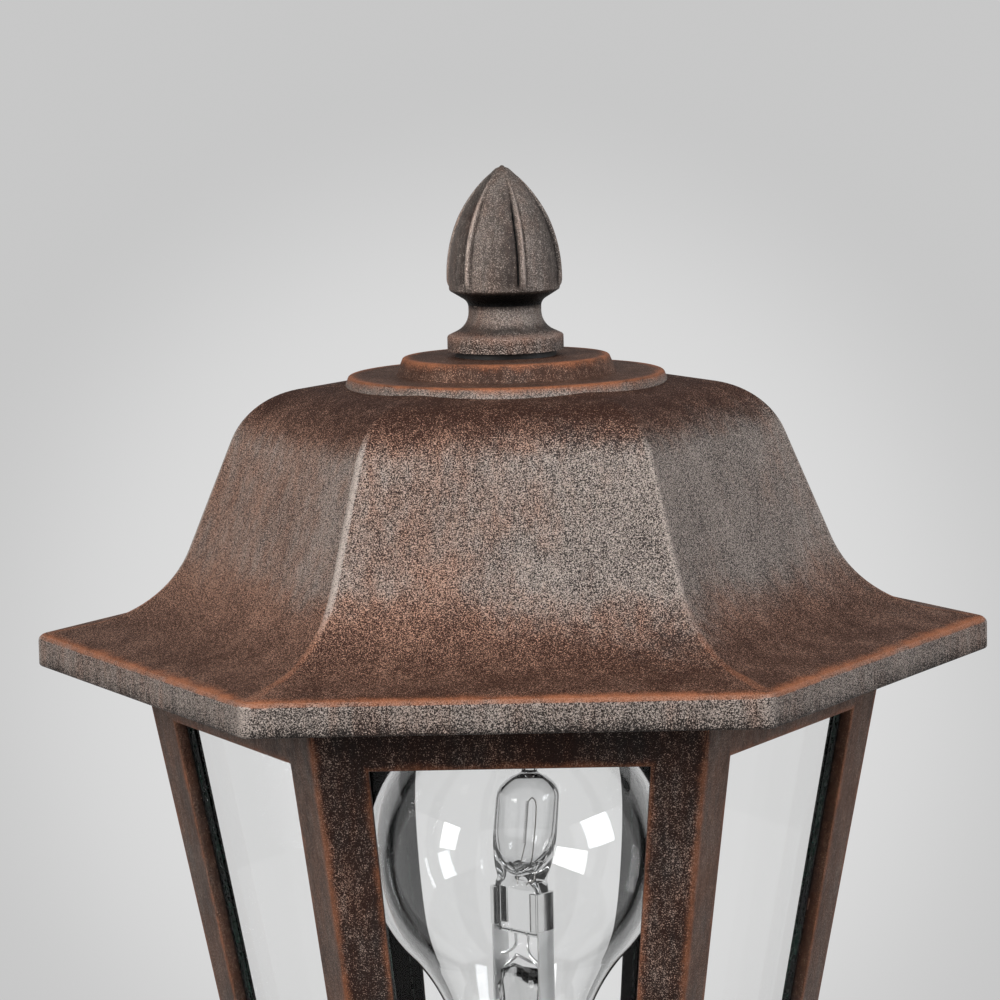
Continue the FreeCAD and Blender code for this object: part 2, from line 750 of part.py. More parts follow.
def make_clips():
    """A clip for each pane: screwed to the top rail, stepped over the glass and down its inner face."""
    wall, sprung = "-pane_gap", "clip_sheet - pane_gap"
    step = f"({PANE_LENGTH} + clip_over)"
    end = "(pane_thick + clip_sheet)"
    clips, screws = [], []
    for k in range(len(PANES)):
        body = new_body(f"clip_{k}")
        profile = draw(new_sketch(body, f"clip_{k}_outline", "YZ_Plane"), [
            (wall, step),
            ("pane_thick", step),
            ("pane_thick", f"{PANE_LENGTH} - clip_tongue"),
            (end, f"{PANE_LENGTH} - clip_tongue"),
            (end, f"{step} + clip_sheet"),
            (sprung, f"{step} + clip_sheet"),
            (sprung, f"{step} + clip_foot"),
            (wall, f"{step} + clip_foot"),
        ])
        pad(body, profile, "clip_width", Midplane=True)
        hole = new_sketch(body, f"clip_{k}_hole", "XZ_Plane")
        drill(body, draw_circle(hole, "0", CLIP_SCREW, "clip_screw_d + 2 * screw_gap"))
        body.Placement = pane_spot(60 * k)
        clips.append(body)
        seat = FreeCAD.Vector(0, number(sprung), number(CLIP_SCREW))
        place = pane_spot(60 * k).multiply(FreeCAD.Placement(seat, LAID_BACK))
        screws.append(screw(f"clip_screw_{k}", "clip_screw_d", "clip_sheet + cage_wall", place))
    keep(group("pane_clips", clips), "pane_clips")
    keep(group("clip_screws", screws), "clip_screws")


def make_floor_screws():
    length = "floor_thick + floor_screw_in"
    places = [spot("0", "floor_screw_circle / 2", FLOOR, turn) for turn in FLOOR_SCREW_TURNS]
    screws = [screw(f"floor_screw_{k}", "floor_screw_d", length, place) for k, place in enumerate(places)]
    keep(group("floor_screws", screws), "floor_screws")


# Bow, stud and the screws that hold them
def make_bow():
    body = new_body("bow")
    level = f"({LUG_TOP} + bow_thick / 2)"
    end = f"({BOW_SCREW} + bow_foot / 2)"
    bend = f"({BOW_SCREW} - bow_foot / 2 - bow_bend / 2)"
    path = draw(new_sketch(body, "bow_path", "XZ_Plane"), [
        (f"-{end}", level),
        (f"-{bend}", level, "bow_bend"),
        ("-bow_crown / 2", CROWN, "bow_bend"),
        ("bow_crown / 2", CROWN, "bow_bend"),
        (bend, level, "bow_bend"),
        (end, level),
    ], closed=False)
    section = new_sketch(body, "bow_section", "YZ_Plane", f"-{end}")
    half, low, high = "bow_width / 2", f"{LUG_TOP}", f"{LUG_TOP} + bow_thick"
    draw(section, [(f"-{half}", low), (half, low), (half, high), (f"-{half}", high)])
    strip = body.newObject("PartDesign::AdditivePipe", "bow_strip")
    strip.Profile = section
    strip.Spine = path
    doc.recompute()
    holes = new_sketch(body, "bow_holes", "XY_Plane")
    draw_circle(holes, "0", "0", "stud_d + 2 * screw_gap")
    draw_circle(holes, BOW_SCREW, "0", "bow_screw_d + 2 * screw_gap")
    draw_circle(holes, f"-{BOW_SCREW}", "0", "bow_screw_d + 2 * screw_gap")
    drill(body, holes)
    keep(body, "roof_bow")
    length = "bow_thick + lug_thick"
    places = [spot(f"{side}{BOW_SCREW}", "0", f"{LUG_TOP} + bow_thick") for side in ("-", "")]
    screws = [screw(f"bow_screw_{k}", "bow_screw_d", length, place) for k, place in enumerate(places)]
    keep(group("bow_screws", screws), "bow_screws")
    foot = f"({CROWN} - bow_thick / 2 - stud_tail)"
    top = f"({FINIAL} + finial_bore_depth - stud_spare)"
    keep(rod("roof_stud", "stud_d", f"{top} - {foot}", Placement__Base__z=foot), "roof_stud")
    levels = (f"{CROWN} - bow_thick / 2 - stud_nut_thick", f"{CROWN} + bow_thick / 2")
    nuts = [nut(f"stud_nut_{k}", "stud_nut_flats", "stud_nut_thick", "stud_d + 2 * stud_gap", up)
            for k, up in enumerate(levels)]
    keep(group("stud_nuts", nuts), "stud_nuts")


# Roof: three bell-shaped prisms crossed at 60 degrees meet in the six mitred ridges
def bell(inset, rim_round, foot):
    """Outline of the bell across two opposite faces, drawn in by an inset measured square to its surface."""
    slopes = {"shelf": "roof_shelf_slope", "side": "roof_side_slope", "crown": "roof_crown_slope"}
    rim, hip = "(roof_flats / 2)", "(roof_bell_flats / 2)"
    hip_rise = f"(roof_rim + ({rim} - {hip}) * tan({slopes['shelf']}))"
    shoulder = f"({hip} - (roof_shoulder - {hip_rise}) * tan({slopes['side']}))"
    crown = "(low_step_d / 2 * cos(30))"
    crown_rise = f"(roof_shoulder + ({shoulder} - {crown}) * tan({slopes['crown']}))"

    def drawn_in(across, up, first, second):
        """A corner moved in from two sides whose outward normals are given as (across, up)."""
        facing = f"(1 + {first[0]} * {second[0]} + {first[1]} * {second[1]})"
        return [f"{at} - {inset} * ({first[axis]} + {second[axis]}) / {facing}"
                for axis, at in enumerate((across, up))]

    upright, shelf = ("1", "0"), (f"sin({slopes['shelf']})", f"cos({slopes['shelf']})")
    side = (f"cos({slopes['side']})", f"sin({slopes['side']})")
    top, level = (f"sin({slopes['crown']})", f"cos({slopes['crown']})"), ("0", "1")
    half = [
        (f"{rim} - {inset}", foot, None),
        (*drawn_in(rim, "roof_rim", upright, shelf), rim_round),
        (*drawn_in(hip, hip_rise, shelf, side), f"roof_flare_round + {inset}"),
        (*drawn_in(shoulder, "roof_shoulder", side, top), f"roof_shoulder_round - {inset}"),
        (*drawn_in(crown, crown_rise, top, level), None),
    ]
    right = [(across, f"{RIM} + {up}", rounding) for across, up, rounding in half]
    left = [(f"-({across})", up, rounding) for across, up, rounding in reversed(right)]
    return right + left


def crossed(name, outline):
    """The space shared by three prisms of one outline, turned 60 degrees apart."""
    prisms = []
    for k in range(3):
        body = new_body(f"{name}_{k}")
        profile = draw(new_sketch(body, f"{name}_{k}_outline", "YZ_Plane"), outline)
        pad(body, profile, "2 * roof_flats", Midplane=True)
        body.Placement = spot("0", "0", "0", 60 * k)
        prisms.append(body)
    made = doc.addObject("Part::MultiCommon", name)
    made.Shapes = prisms
    doc.recompute()
    return made


def ease_ridges(name, base):
    """Rounds the mitred edges, which lie on the six corner directions."""
    ridges = []
    for k, edge in enumerate(base.Shape.Edges, 1):
        middle = edge.valueAt((edge.FirstParameter + edge.LastParameter) / 2)
        off = math.degrees(math.atan2(middle.y, middle.x)) % 60
        if min(off, 60 - off) < RIDGE_SPREAD:
            ridges.append((k, number("roof_ridge_round"), number("roof_ridge_round")))
    made = doc.addObject("Part::Fillet", name)
    made.Base = base
    made.Edges = ridges
    doc.recompute()
    return made


def make_roof():
    outside = ease_ridges("roof_eased", crossed("roof_outside", bell("0", "roof_rim_round", "0")))
    hollow = crossed("roof_hollow", bell("roof_wall", None, "-roof_wall"))
    draft = "tan(step_draft)"
    low, high = "low_step_d / 2", "high_step_d / 2"
    root = f"({RIM} + roof_shoulder)"
    steps = turned("roof_steps", [
        ("0", root),
        (f"{low} + (low_step_rise - roof_shoulder) * {draft}", root),
        (low, f"{RIM} + low_step_rise", "step_round"),
        (f"{high} + (high_step_rise - low_step_rise) * {draft}", f"{RIM} + low_step_rise"),
        (high, ROOF_TOP, "step_round"),
        ("0", ROOF_TOP),
    ])
    shell = cut("roof_shell", fuse("roof_solid", outside, steps), hollow)
    lip = "(cage_top_flats + 2 * seat_lip_gap)"
    low, tall = f"{CAGE_TOP} - seat_lip", "seat_lip + seat_rib"
    rib = prism("seat_rib", f"{lip} + 2 * seat_lip_wall", tall, Placement__Base__z=low)
    recess = prism("seat_recess", lip, "seat_lip", Placement__Base__z=low)
    bore = prism("seat_bore", "cage_top_flats - 2 * seat_width", tall, Placement__Base__z=low)
    seat = cut("roof_seat", rib, fuse("seat_space", recess, bore))
    hole = rod("roof_stud_hole", "stud_d + 2 * stud_hole_gap", "high_step_rise", Placement__Base__z=RIM)
    keep(cut("roof", fuse("roof_blank", shell, seat), hole), "roof")


# Finial: an acorn on a coved neck, with six raised ribs
def make_finial():
    bore = "(stud_d / 2 + stud_gap)"

    def at(up):
        return f"{FINIAL} + {up}"

    body = turned("finial", [
        (bore, FINIAL),
        ("finial_flange_d / 2", FINIAL),
        ("finial_flange_d / 2", at("finial_flange"), "step_round"),
        ("finial_neck_d / 2", at("finial_neck_low"), "finial_cove"),
        ("finial_neck_d / 2", at("finial_neck_high"), "finial_cove"),
        ("finial_d / 2", at("finial_waist"), "step_round"),
        ("finial_d / 2", at("finial_belly"), None, "finial_curve"),
        ("finial_tip_d / 2", at("finial_height - finial_tip_d / 2")),
        ("0", at("finial_height")),
        ("0", at("finial_bore_depth")),
        (bore, at("finial_bore_depth")),
    ])
    proud, inner = "(finial_d / 2 + finial_rib)", "(finial_d / 4)"
    fade = "(finial_height - finial_rib_end)"
    skin = f"(finial_d / 2 - finial_curve + sqrt(finial_curve ^ 2 - ({fade} - finial_belly) ^ 2))"
    rib = draw(new_sketch(body, "finial_rib", "XZ_Plane"), [
        (inner, at("finial_waist + 2 * step_round")),
        (proud, at("finial_waist + 2 * step_round")),
        (proud, at("finial_belly"), None, "finial_curve"),
        (f"{skin} - finial_rib", at(fade)),
        (f"{skin} - finial_rib", at("finial_belly + finial_d / 4")),
        (inner, at("finial_belly")),
    ])
    repeat(body, pad(body, rib, "finial_rib_width", Midplane=True), 6)
    body.Placement = spot("0", "0", "0", number("finial_stop_turn"))
    keep(body, "finial")
    hole = "(stud_d / 2 + stud_hole_gap)"
    edges = [(hole, ROOF_TOP), ("washer_d / 2", ROOF_TOP), ("washer_d / 2", FINIAL), (hole, FINIAL)]
    keep(turned("finial_washer", edges), "finial_washer")


# Lampholder on its hollow nipple
def make_holder():
    hole = "(nipple_d / 2 + screw_gap)"
    shell, inside = "(dome_d / 2)", "(dome_d / 2 - dome_wall)"
    foot, top = f"({CAGE_FOOT} - nipple_tail)", f"({DOME} + dome_floor + screw_gap)"
    tube = ("nipple_bore_d / 2", "nipple_d / 2")
    edges = [(tube[0], foot), (tube[1], foot), (tube[1], top), (tube[0], top)]
    keep(turned("nipple", edges), "nipple")
    nuts = [nut(f"nipple_nut_{k}", "nipple_nut_flats", "nipple_nut_thick", "nipple_d + 2 * screw_gap", up)
            for k, up in enumerate((f"{CAGE_FOOT} - nipple_nut_thick", FLOOR))]
    keep(group("nipple_nuts", nuts), "nipple_nuts")
    keep(turned("holder_dome", [
        (hole, DOME),
        ("dome_foot_d / 2", DOME),
        (shell, f"{DOME} + insert_foot", "dome_round"),
        (shell, f"{DOME} + dome_height"),
        (inside, f"{DOME} + dome_height"),
        (inside, f"{DOME} + insert_foot"),
        (f"{inside} - dome_wall", f"{DOME} + insert_foot"),
        ("dome_foot_d / 2 - dome_wall", f"{DOME} + dome_floor"),
        (hole, f"{DOME} + dome_floor"),
    ]), "holder_dome")
    seat = f"({DOME} + insert_top)"
    keep(rod("holder_insert", f"2 * ({inside} - insert_gap)", "insert_top - insert_foot",
             Placement__Base__z=f"{DOME} + insert_foot"), "holder_insert")
    keep(rod("holder_contact", "contact_d", "contact_thick", Placement__Base__z=seat), "holder_contact")
    bore = "(cap_d / 2 + sleeve_gap)"
    high = f"({seat} + sleeve_height)"
    edges = [(bore, seat), (f"{bore} + sleeve_wall", seat), (f"{bore} + sleeve_wall", high), (bore, high)]
    keep(turned("holder_sleeve", edges), "holder_sleeve")
    low, mouth = f"({DOME} + dome_height)", f"({DOME} + dome_height + skirt_height)"
    keep(turned("holder_skirt", [
        (f"{shell} - skirt_wall", low),
        (shell, low),
        (shell, mouth, "cast_round"),
        ("skirt_mouth_d / 2", mouth),
        ("skirt_mouth_d / 2", f"{mouth} - skirt_lip"),
        (f"{shell} - skirt_wall", f"{mouth} - skirt_lip"),
    ]), "holder_skirt")


# Bulb
def make_bulb():
    def at(up):
        return f"({BULB} + {up})"

    root, inside = "(cap_d / 2 - cap_thread)", "(cap_d / 2 - cap_thread - cap_wall)"
    keep(rod("bulb_contact", "button_d", "button_thick", Placement__Base__z=BULB), "bulb_contact")
    keep(turned("bulb_insulator", [
        ("0", at("button_thick")),
        ("button_d / 2", at("button_thick")),
        (inside, at("cap_foot")),
        (inside, at("button_thick + insulator_thick")),
        ("0", at("button_thick + insulator_thick")),
    ]), "bulb_insulator")
    threads = []
    for k in range(int(number("(cap_height - cap_lip) / cap_pitch"))):
        threads.append(("cap_d / 2", at(f"cap_foot + cap_pitch * ({k} + 0.5)")))
        threads.append((root, at(f"cap_foot + cap_pitch * ({k} + 1)")))
    rim = at("cap_foot + cap_height")
    edges = [(inside, at("cap_foot")), (root, at("cap_foot")), *threads, (root, rim), (inside, rim)]
    keep(turned("bulb_cap", edges), "bulb_cap")
    ball, curve, neck = "(bulb_d / 2)", "bulb_neck_curve", "(bulb_neck_d / 2)"
    centre = at("bulb_length - bulb_d / 2")
    meet = f"acos(({neck} + {curve}) / ({ball} + {curve}))"
    bend = f"({centre} - ({ball} + {curve}) * sin({meet}))"
    thin = f"({ball} - glass_wall)"
    keep(turned("bulb_glass", [
        (neck, at("bulb_glass_foot")),
        (neck, bend, None, f"-{curve}"),
        (f"{ball} * cos({meet})", f"{centre} - {ball} * sin({meet})", None, ball),
        ("0", f"{centre} + {ball}"),
        ("0", f"{centre} + {thin}", None, f"-{thin}"),
        (f"{thin} * cos({meet})", f"{centre} - {thin} * sin({meet})", None, f"{curve} + glass_wall"),
        (f"{neck} - glass_wall", bend),
        (f"{neck} - glass_wall", at("bulb_glass_foot")),
    ]), "bulb_glass")
    flare = f"({neck} - glass_wall - screw_gap)"
    stem = turned("stem", [
        ("0", at("bulb_glass_foot")),
        (flare, at("bulb_glass_foot")),
        (flare, at("bulb_glass_foot + glass_wall")),
        ("stem_d / 2", at("bulb_glass_foot + stem_d"), "stem_d / 2"),
        ("stem_d / 2", at("stem_top"), "cast_round"),
        ("0", at("stem_top")),
    ])
    off = FreeCAD.Vector(number("mount_off"), 0, 0)
    turn = FreeCAD.Rotation(FreeCAD.Vector(0, 0, 1), number("mount_turn"))
    press = block("press", "pinch_width", "pinch_thick", "stem_d", "0", at("stem_top - stem_d"))
    press = group("stem_press", [press])
    press.Placement = FreeCAD.Placement(off, turn)
    keep(fuse("bulb_stem", stem, press), "bulb_stem")
    pivot = FreeCAD.Vector(0, 0, number(at("capsule_foot")))
    lean = FreeCAD.Rotation(FreeCAD.Vector(0, 1, 0), number("capsule_lean"))
    wide, thin = "(capsule_d / 2)", "(capsule_d / 2 - capsule_wall)"
    quartz = turned("capsule_shell", [
        ("0", at("capsule_foot")),
        (wide, at("capsule_foot"), "capsule_foot_round"),
        (wide, at("capsule_dome"), "capsule_dome_round"),
        ("capsule_tip_d / 2", at("capsule_dome")),
        ("capsule_tip_d / 2", at("capsule_top"), "capsule_tip_d / 4"),
        ("0", at("capsule_top")),
        ("0", at("capsule_dome - capsule_wall")),
        (thin, at("capsule_dome - capsule_wall"), "capsule_dome_round - capsule_wall"),
        (thin, at("capsule_foot + capsule_wall"), "capsule_foot_round - capsule_wall"),
        ("0", at("capsule_foot + capsule_wall")),
    ])
    quartz.Placement = FreeCAD.Placement(off, lean, pivot)
    tall = "pinch_height + capsule_wall / 2"
    pinch = block("pinch", "pinch_width", "pinch_thick", tall, "0", at("capsule_foot - pinch_height"))
    pinch = group("capsule_pinch", [pinch])
    pinch.Placement = FreeCAD.Placement(off, turn)
    keep(fuse("bulb_capsule", quartz, pinch), "bulb_capsule")
    start, wire = at("capsule_foot + capsule_wall"), "filament_wire_d"
    coil = rod("filament_coil", "filament_d", "filament_length", Placement__Base__z=at("filament_foot"))
    tail = rod("filament_tail", wire, f"{at('filament_foot')} - {start}", Placement__Base__z=start)
    top = at("filament_foot + filament_length")
    aside = "filament_leg_off"
    leg = rod("filament_leg", wire, f"{top} - {start}", Placement__Base__z=start, Placement__Base__x=aside)
    bridge = block("filament_bridge", f"{aside} + {wire}", wire, wire, f"{aside} / 2", f"{top} - {wire}")
    filament = keep(fuse("bulb_filament", coil, tail, leg, bridge), "bulb_filament")
    filament.Placement = FreeCAD.Placement(off, lean.multiply(turn), pivot)
    low, reach = at("stem_top - stem_d"), "(pinch_width / 2 + strap_thick / 2)"
    tall = f"{at('capsule_foot')} - {low}"
    straps = [block(f"strap_{k}", "strap_thick", "strap_width", tall, f"{k} * {reach}", low) for k in (-1, 1)]
    straps = keep(group("bulb_straps", straps), "bulb_straps")
    straps.Placement = FreeCAD.Placement(off, turn)


make_foot()
make_pole()
make_neck()
make_wiring()
make_cage()
make_panes()
make_clips()
make_floor_screws()
make_bow()
make_roof()
make_finial()
make_holder()
make_bulb()
doc.recompute()

for thing in doc.Objects:
    if "Invalid" in thing.State or "Error" in thing.State:
        raise RuntimeError(f"{thing.Label} failed: {thing.State}")
for node in nodes:
    if node.Shape.isNull() or not node.Shape.isValid():
        raise RuntimeError(f"{node.Label} has no valid shape")
os.makedirs("parts", exist_ok=True)
for node in nodes:
    node.Shape.exportStep(f"parts/{node.Label}.step")
    print(node.Label, len(node.Shape.Solids), round(node.Shape.Volume, 1))
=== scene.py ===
# %% [markdown]
# # A lantern bollard, dressed for its portrait
# The solids of this lantern come from a CAD model: they give every piece its size and its place. This lesson
# keeps those places and makes the surfaces that show: a cast roof with a rubbed rust finish, a ribbed acorn, a
# glazed cage and a clear bulb. All lengths below are written in millimetres and become metres when a mesh is
# made.

# %% Load the frame
import bmesh
import bpy
import numpy as np
from mathutils import Matrix


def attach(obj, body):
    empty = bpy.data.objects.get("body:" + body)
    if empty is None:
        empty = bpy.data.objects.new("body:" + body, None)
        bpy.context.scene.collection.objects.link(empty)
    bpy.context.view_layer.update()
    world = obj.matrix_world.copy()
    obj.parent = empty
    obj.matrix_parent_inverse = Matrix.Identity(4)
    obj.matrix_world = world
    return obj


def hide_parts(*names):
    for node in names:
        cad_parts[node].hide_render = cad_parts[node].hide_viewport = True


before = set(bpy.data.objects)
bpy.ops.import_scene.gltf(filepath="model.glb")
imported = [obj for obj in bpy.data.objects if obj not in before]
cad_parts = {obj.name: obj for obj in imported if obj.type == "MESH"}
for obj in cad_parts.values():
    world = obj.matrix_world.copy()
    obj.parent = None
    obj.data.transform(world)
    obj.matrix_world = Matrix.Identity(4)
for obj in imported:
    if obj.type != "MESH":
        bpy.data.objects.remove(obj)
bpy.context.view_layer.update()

# %% [markdown]
# ## The camera
# The photograph was taken from a little above the roof's rim with a long lens, and the camera was turned a degree
# off level. The view was found by matching the rim's six corners and the finial's tip, so it is set by numbers: a
# place, three angles and a focal length in pixels of a 1000-pixel frame.

# %% Camera
EYE = np.array([11.49, -765.65, 1033.03]) / 1000
PITCH, PAN, ROLL = np.radians([7.394, -0.993, -1.248])
FOCAL_PX, FRAME_PX, SENSOR_MM = 3886.35, 1000, 36


def camera_axes(pitch, pan, roll):
    """Columns right, up and back of a camera that looks along +Y, pitched down, panned to +X and rolled."""
    ahead = np.array([np.sin(pan) * np.cos(pitch), np.cos(pan) * np.cos(pitch), -np.sin(pitch)])
    level = np.array([np.cos(pan), -np.sin(pan), 0])
    upright = np.cross(level, ahead)
    right = np.cos(roll) * level + np.sin(roll) * upright
    up = -np.sin(roll) * level + np.cos(roll) * upright
    return np.stack([right, up, -ahead], axis=1)


def stand(name, data, axes=np.eye(3), place=(0, 0, 0)):
    """A new object in the scene at a place, with the columns of axes as its own X, Y and Z."""
    thing = bpy.data.objects.new(name, data)
    pose = np.eye(4)
    pose[:3, :3], pose[:3, 3] = axes, place
    thing.matrix_world = Matrix(pose.tolist())
    bpy.context.scene.collection.objects.link(thing)
    return thing


lens = bpy.data.cameras.new("portrait_camera")
lens.sensor_width = SENSOR_MM
lens.lens = FOCAL_PX * SENSOR_MM / FRAME_PX
lens.clip_start = 0.01
bpy.context.scene.camera = stand("portrait_camera", lens, camera_axes(PITCH, PAN, ROLL), EYE)
bpy.context.scene.view_settings.view_transform = "Standard"
print("lens in millimetres:", round(lens.lens, 2))

# %% [markdown]
# ## Grids of points
# Almost every surface here is a grid: rows run along a profile and columns run round the axis. One function joins
# neighbouring points into four-sided faces, another turns points and faces into an object that rides on its body.
# Extra numbers can be kept at each point. The finish reads them to know how far a point is from a rubbed edge. A
# surface is worked out about its own foot and then put in its place.

# %% Faces and shells
def quads(rows, columns, rows_close=False, columns_close=False):
    """Corner numbers of the faces of a grid, whose rows or columns may join up at their ends."""
    row, column = np.meshgrid(np.arange(rows if rows_close else rows - 1),
                              np.arange(columns if columns_close else columns - 1), indexing="ij")
    below, beside = (row + 1) % rows, (column + 1) % columns
    corners = [row * columns + column, row * columns + beside, below * columns + beside, below * columns + column]
    return np.stack(corners, axis=-1).reshape(-1, 4)


def sheet(points, rows_close=False, columns_close=True, **marks):
    """A shell of (points, faces, marks) from rows and columns of points, with each mark spread over the grid."""
    grid = points.shape[:2]
    marks = {name: np.broadcast_to(values, grid).ravel() for name, values in marks.items()}
    return points.reshape(-1, 3), quads(*grid, rows_close, columns_close), marks


def join(*shells):
    """Several shells as one, with the face numbers moved on."""
    starts = np.cumsum([0] + [len(points) for points, _, _ in shells])
    points = np.concatenate([points for points, _, _ in shells])
    faces = np.concatenate([faces + start for (_, faces, _), start in zip(shells, starts)])
    names = shells[0][2].keys()
    return points, faces, {name: np.concatenate([marks[name] for _, _, marks in shells]) for name in names}


def placed(shell, at=(0, 0, 0), turn=0):
    """A shell turned round Z by some degrees and then moved."""
    points, faces, marks = shell
    a = np.radians(turn)
    spin = np.array([[np.cos(a), -np.sin(a), 0], [np.sin(a), np.cos(a), 0], [0, 0, 1]])
    return points @ spin.T + at, faces, marks


# %% Pieces
def make_piece(name, shell, material, body, stands_for=(), sharp=30, merge=0.0005):
    """An object from points in millimetres, with marks as point attributes, on its body and in its slot."""
    points, faces, marks = shell
    mesh = bpy.data.meshes.new(name)
    mesh.from_pydata((points / 1000).tolist(), [], faces.tolist())
    for mark, values in marks.items():
        layer = mesh.attributes.new(mark, "FLOAT", "POINT")
        layer.data.foreach_set("value", np.asarray(values, dtype=np.float32))
    work = bmesh.new()
    work.from_mesh(mesh)
    bmesh.ops.remove_doubles(work, verts=work.verts, dist=merge / 1000)
    bmesh.ops.dissolve_degenerate(work, edges=work.edges, dist=merge / 1000)
    bmesh.ops.delete(work, geom=[edge for edge in work.edges if not edge.link_faces], context="EDGES")
    bmesh.ops.recalc_face_normals(work, faces=work.faces)
    if "hollow" in marks:
        layer = work.verts.layers.float["hollow"]
        empty = [face for face in work.faces if all(spot[layer] > 0.5 for spot in face.verts)]
        bmesh.ops.reverse_faces(work, faces=empty)
    open_edges = sum(len(edge.link_faces) != 2 for edge in work.edges)
    work.to_mesh(mesh)
    work.free()
    mesh.shade_smooth()
    mesh.set_sharp_from_angle(angle=np.radians(sharp))
    mesh.materials.append(material)
    piece = stand(name, mesh)
    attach(piece, body)
    if stands_for:
        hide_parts(*stands_for)
    print(f"{name}: {len(mesh.polygons)} faces, {open_edges} open edges")
    return piece


# %% Profiles
def unit(vectors):
    """Vectors with the same directions and a length of 1."""
    return vectors / np.linalg.norm(vectors, axis=-1, keepdims=True)


def rounded(corners, step=10):
    """A line through corners (across, up, radius) with each corner replaced by a tangent arc, one point each
    few degrees. A radius of 0 keeps the corner."""
    corners = np.array(corners, dtype=float)
    points = [corners[0, :2]]
    for before, (x, y, radius), after in zip(corners[:-2], corners[1:-1], corners[2:]):
        here = np.array([x, y])
        if radius == 0:
            points.append(here)
            continue
        inward, outward = unit(before[:2] - here), unit(after[:2] - here)
        opening = np.arccos(np.clip(inward @ outward, -1, 1))
        halfway, across = unit(inward + outward), unit(outward - inward)
        centre = here + halfway * radius / np.sin(opening / 2)
        turn = np.pi - opening
        spread = np.linspace(-turn / 2, turn / 2, max(2, int(np.ceil(np.degrees(turn) / step)) + 1))
        points.extend(centre - radius * (np.cos(a) * halfway - np.sin(a) * across) for a in spread)
    points.append(corners[-1, :2])
    return np.array(points)


def finer(line, length):
    """The same line with extra points, so that no step is longer than a length."""
    steps = np.linalg.norm(np.diff(line, axis=0), axis=1)
    parts = np.maximum(1, np.ceil(steps / length)).astype(int)
    pieces = [np.linspace(a, b, n, endpoint=False) for a, b, n in zip(line[:-1], line[1:], parts)]
    return np.concatenate(pieces + [line[-1:]])


def round_angles(columns):
    """Evenly spaced angles once round."""
    return np.linspace(0, 2 * np.pi, columns, endpoint=False)


def lathe(line, angle):
    """Rows and columns of a line of (radius, height) turned round Z: point = (r cos a, r sin a, h)."""
    radius, height = line[:, :1], line[:, 1:]
    return np.stack([radius * np.cos(angle), radius * np.sin(angle), height + 0 * angle], axis=-1)


# %% [markdown]
# ## The rust finish
# The castings are sprayed dark brown, dusted with a lighter metallic speckle, and rubbed back along the edges
# until copper shows. Three things make it: fine grain, soft vertical streaks that turn the brown to grey and
# back, and a copper line whose ragged border follows the marks kept on the mesh. Noise on Object coordinates
# gives the first two at the real scale, whatever the shape. The marks are `edge` (millimetres to the nearest
# rubbed edge), `rub` (how hard that edge was rubbed), `warm` (how much of the brown was left on, and on the
# roof's left side a painted warm light), `shade` (how thinly it was dusted, and also painted shade, which from
# about 2 paints the coat black) and `calm` (how evenly).

# %% Numbers made by nodes
class Amount:
    """A number made by nodes. Each plus, minus or times with another amount or a plain number adds a Math node."""

    def __init__(self, nodes, socket):
        self.nodes, self.socket = nodes, socket

    def __add__(self, other):
        return self.nodes.math("ADD", self, other)

    def __sub__(self, other):
        return self.nodes.math("SUBTRACT", self, other)

    def __rsub__(self, other):
        return self.nodes.math("SUBTRACT", other, self)

    def __mul__(self, other):
        return self.nodes.math("MULTIPLY", self, other)

    __radd__, __rmul__ = __add__, __mul__


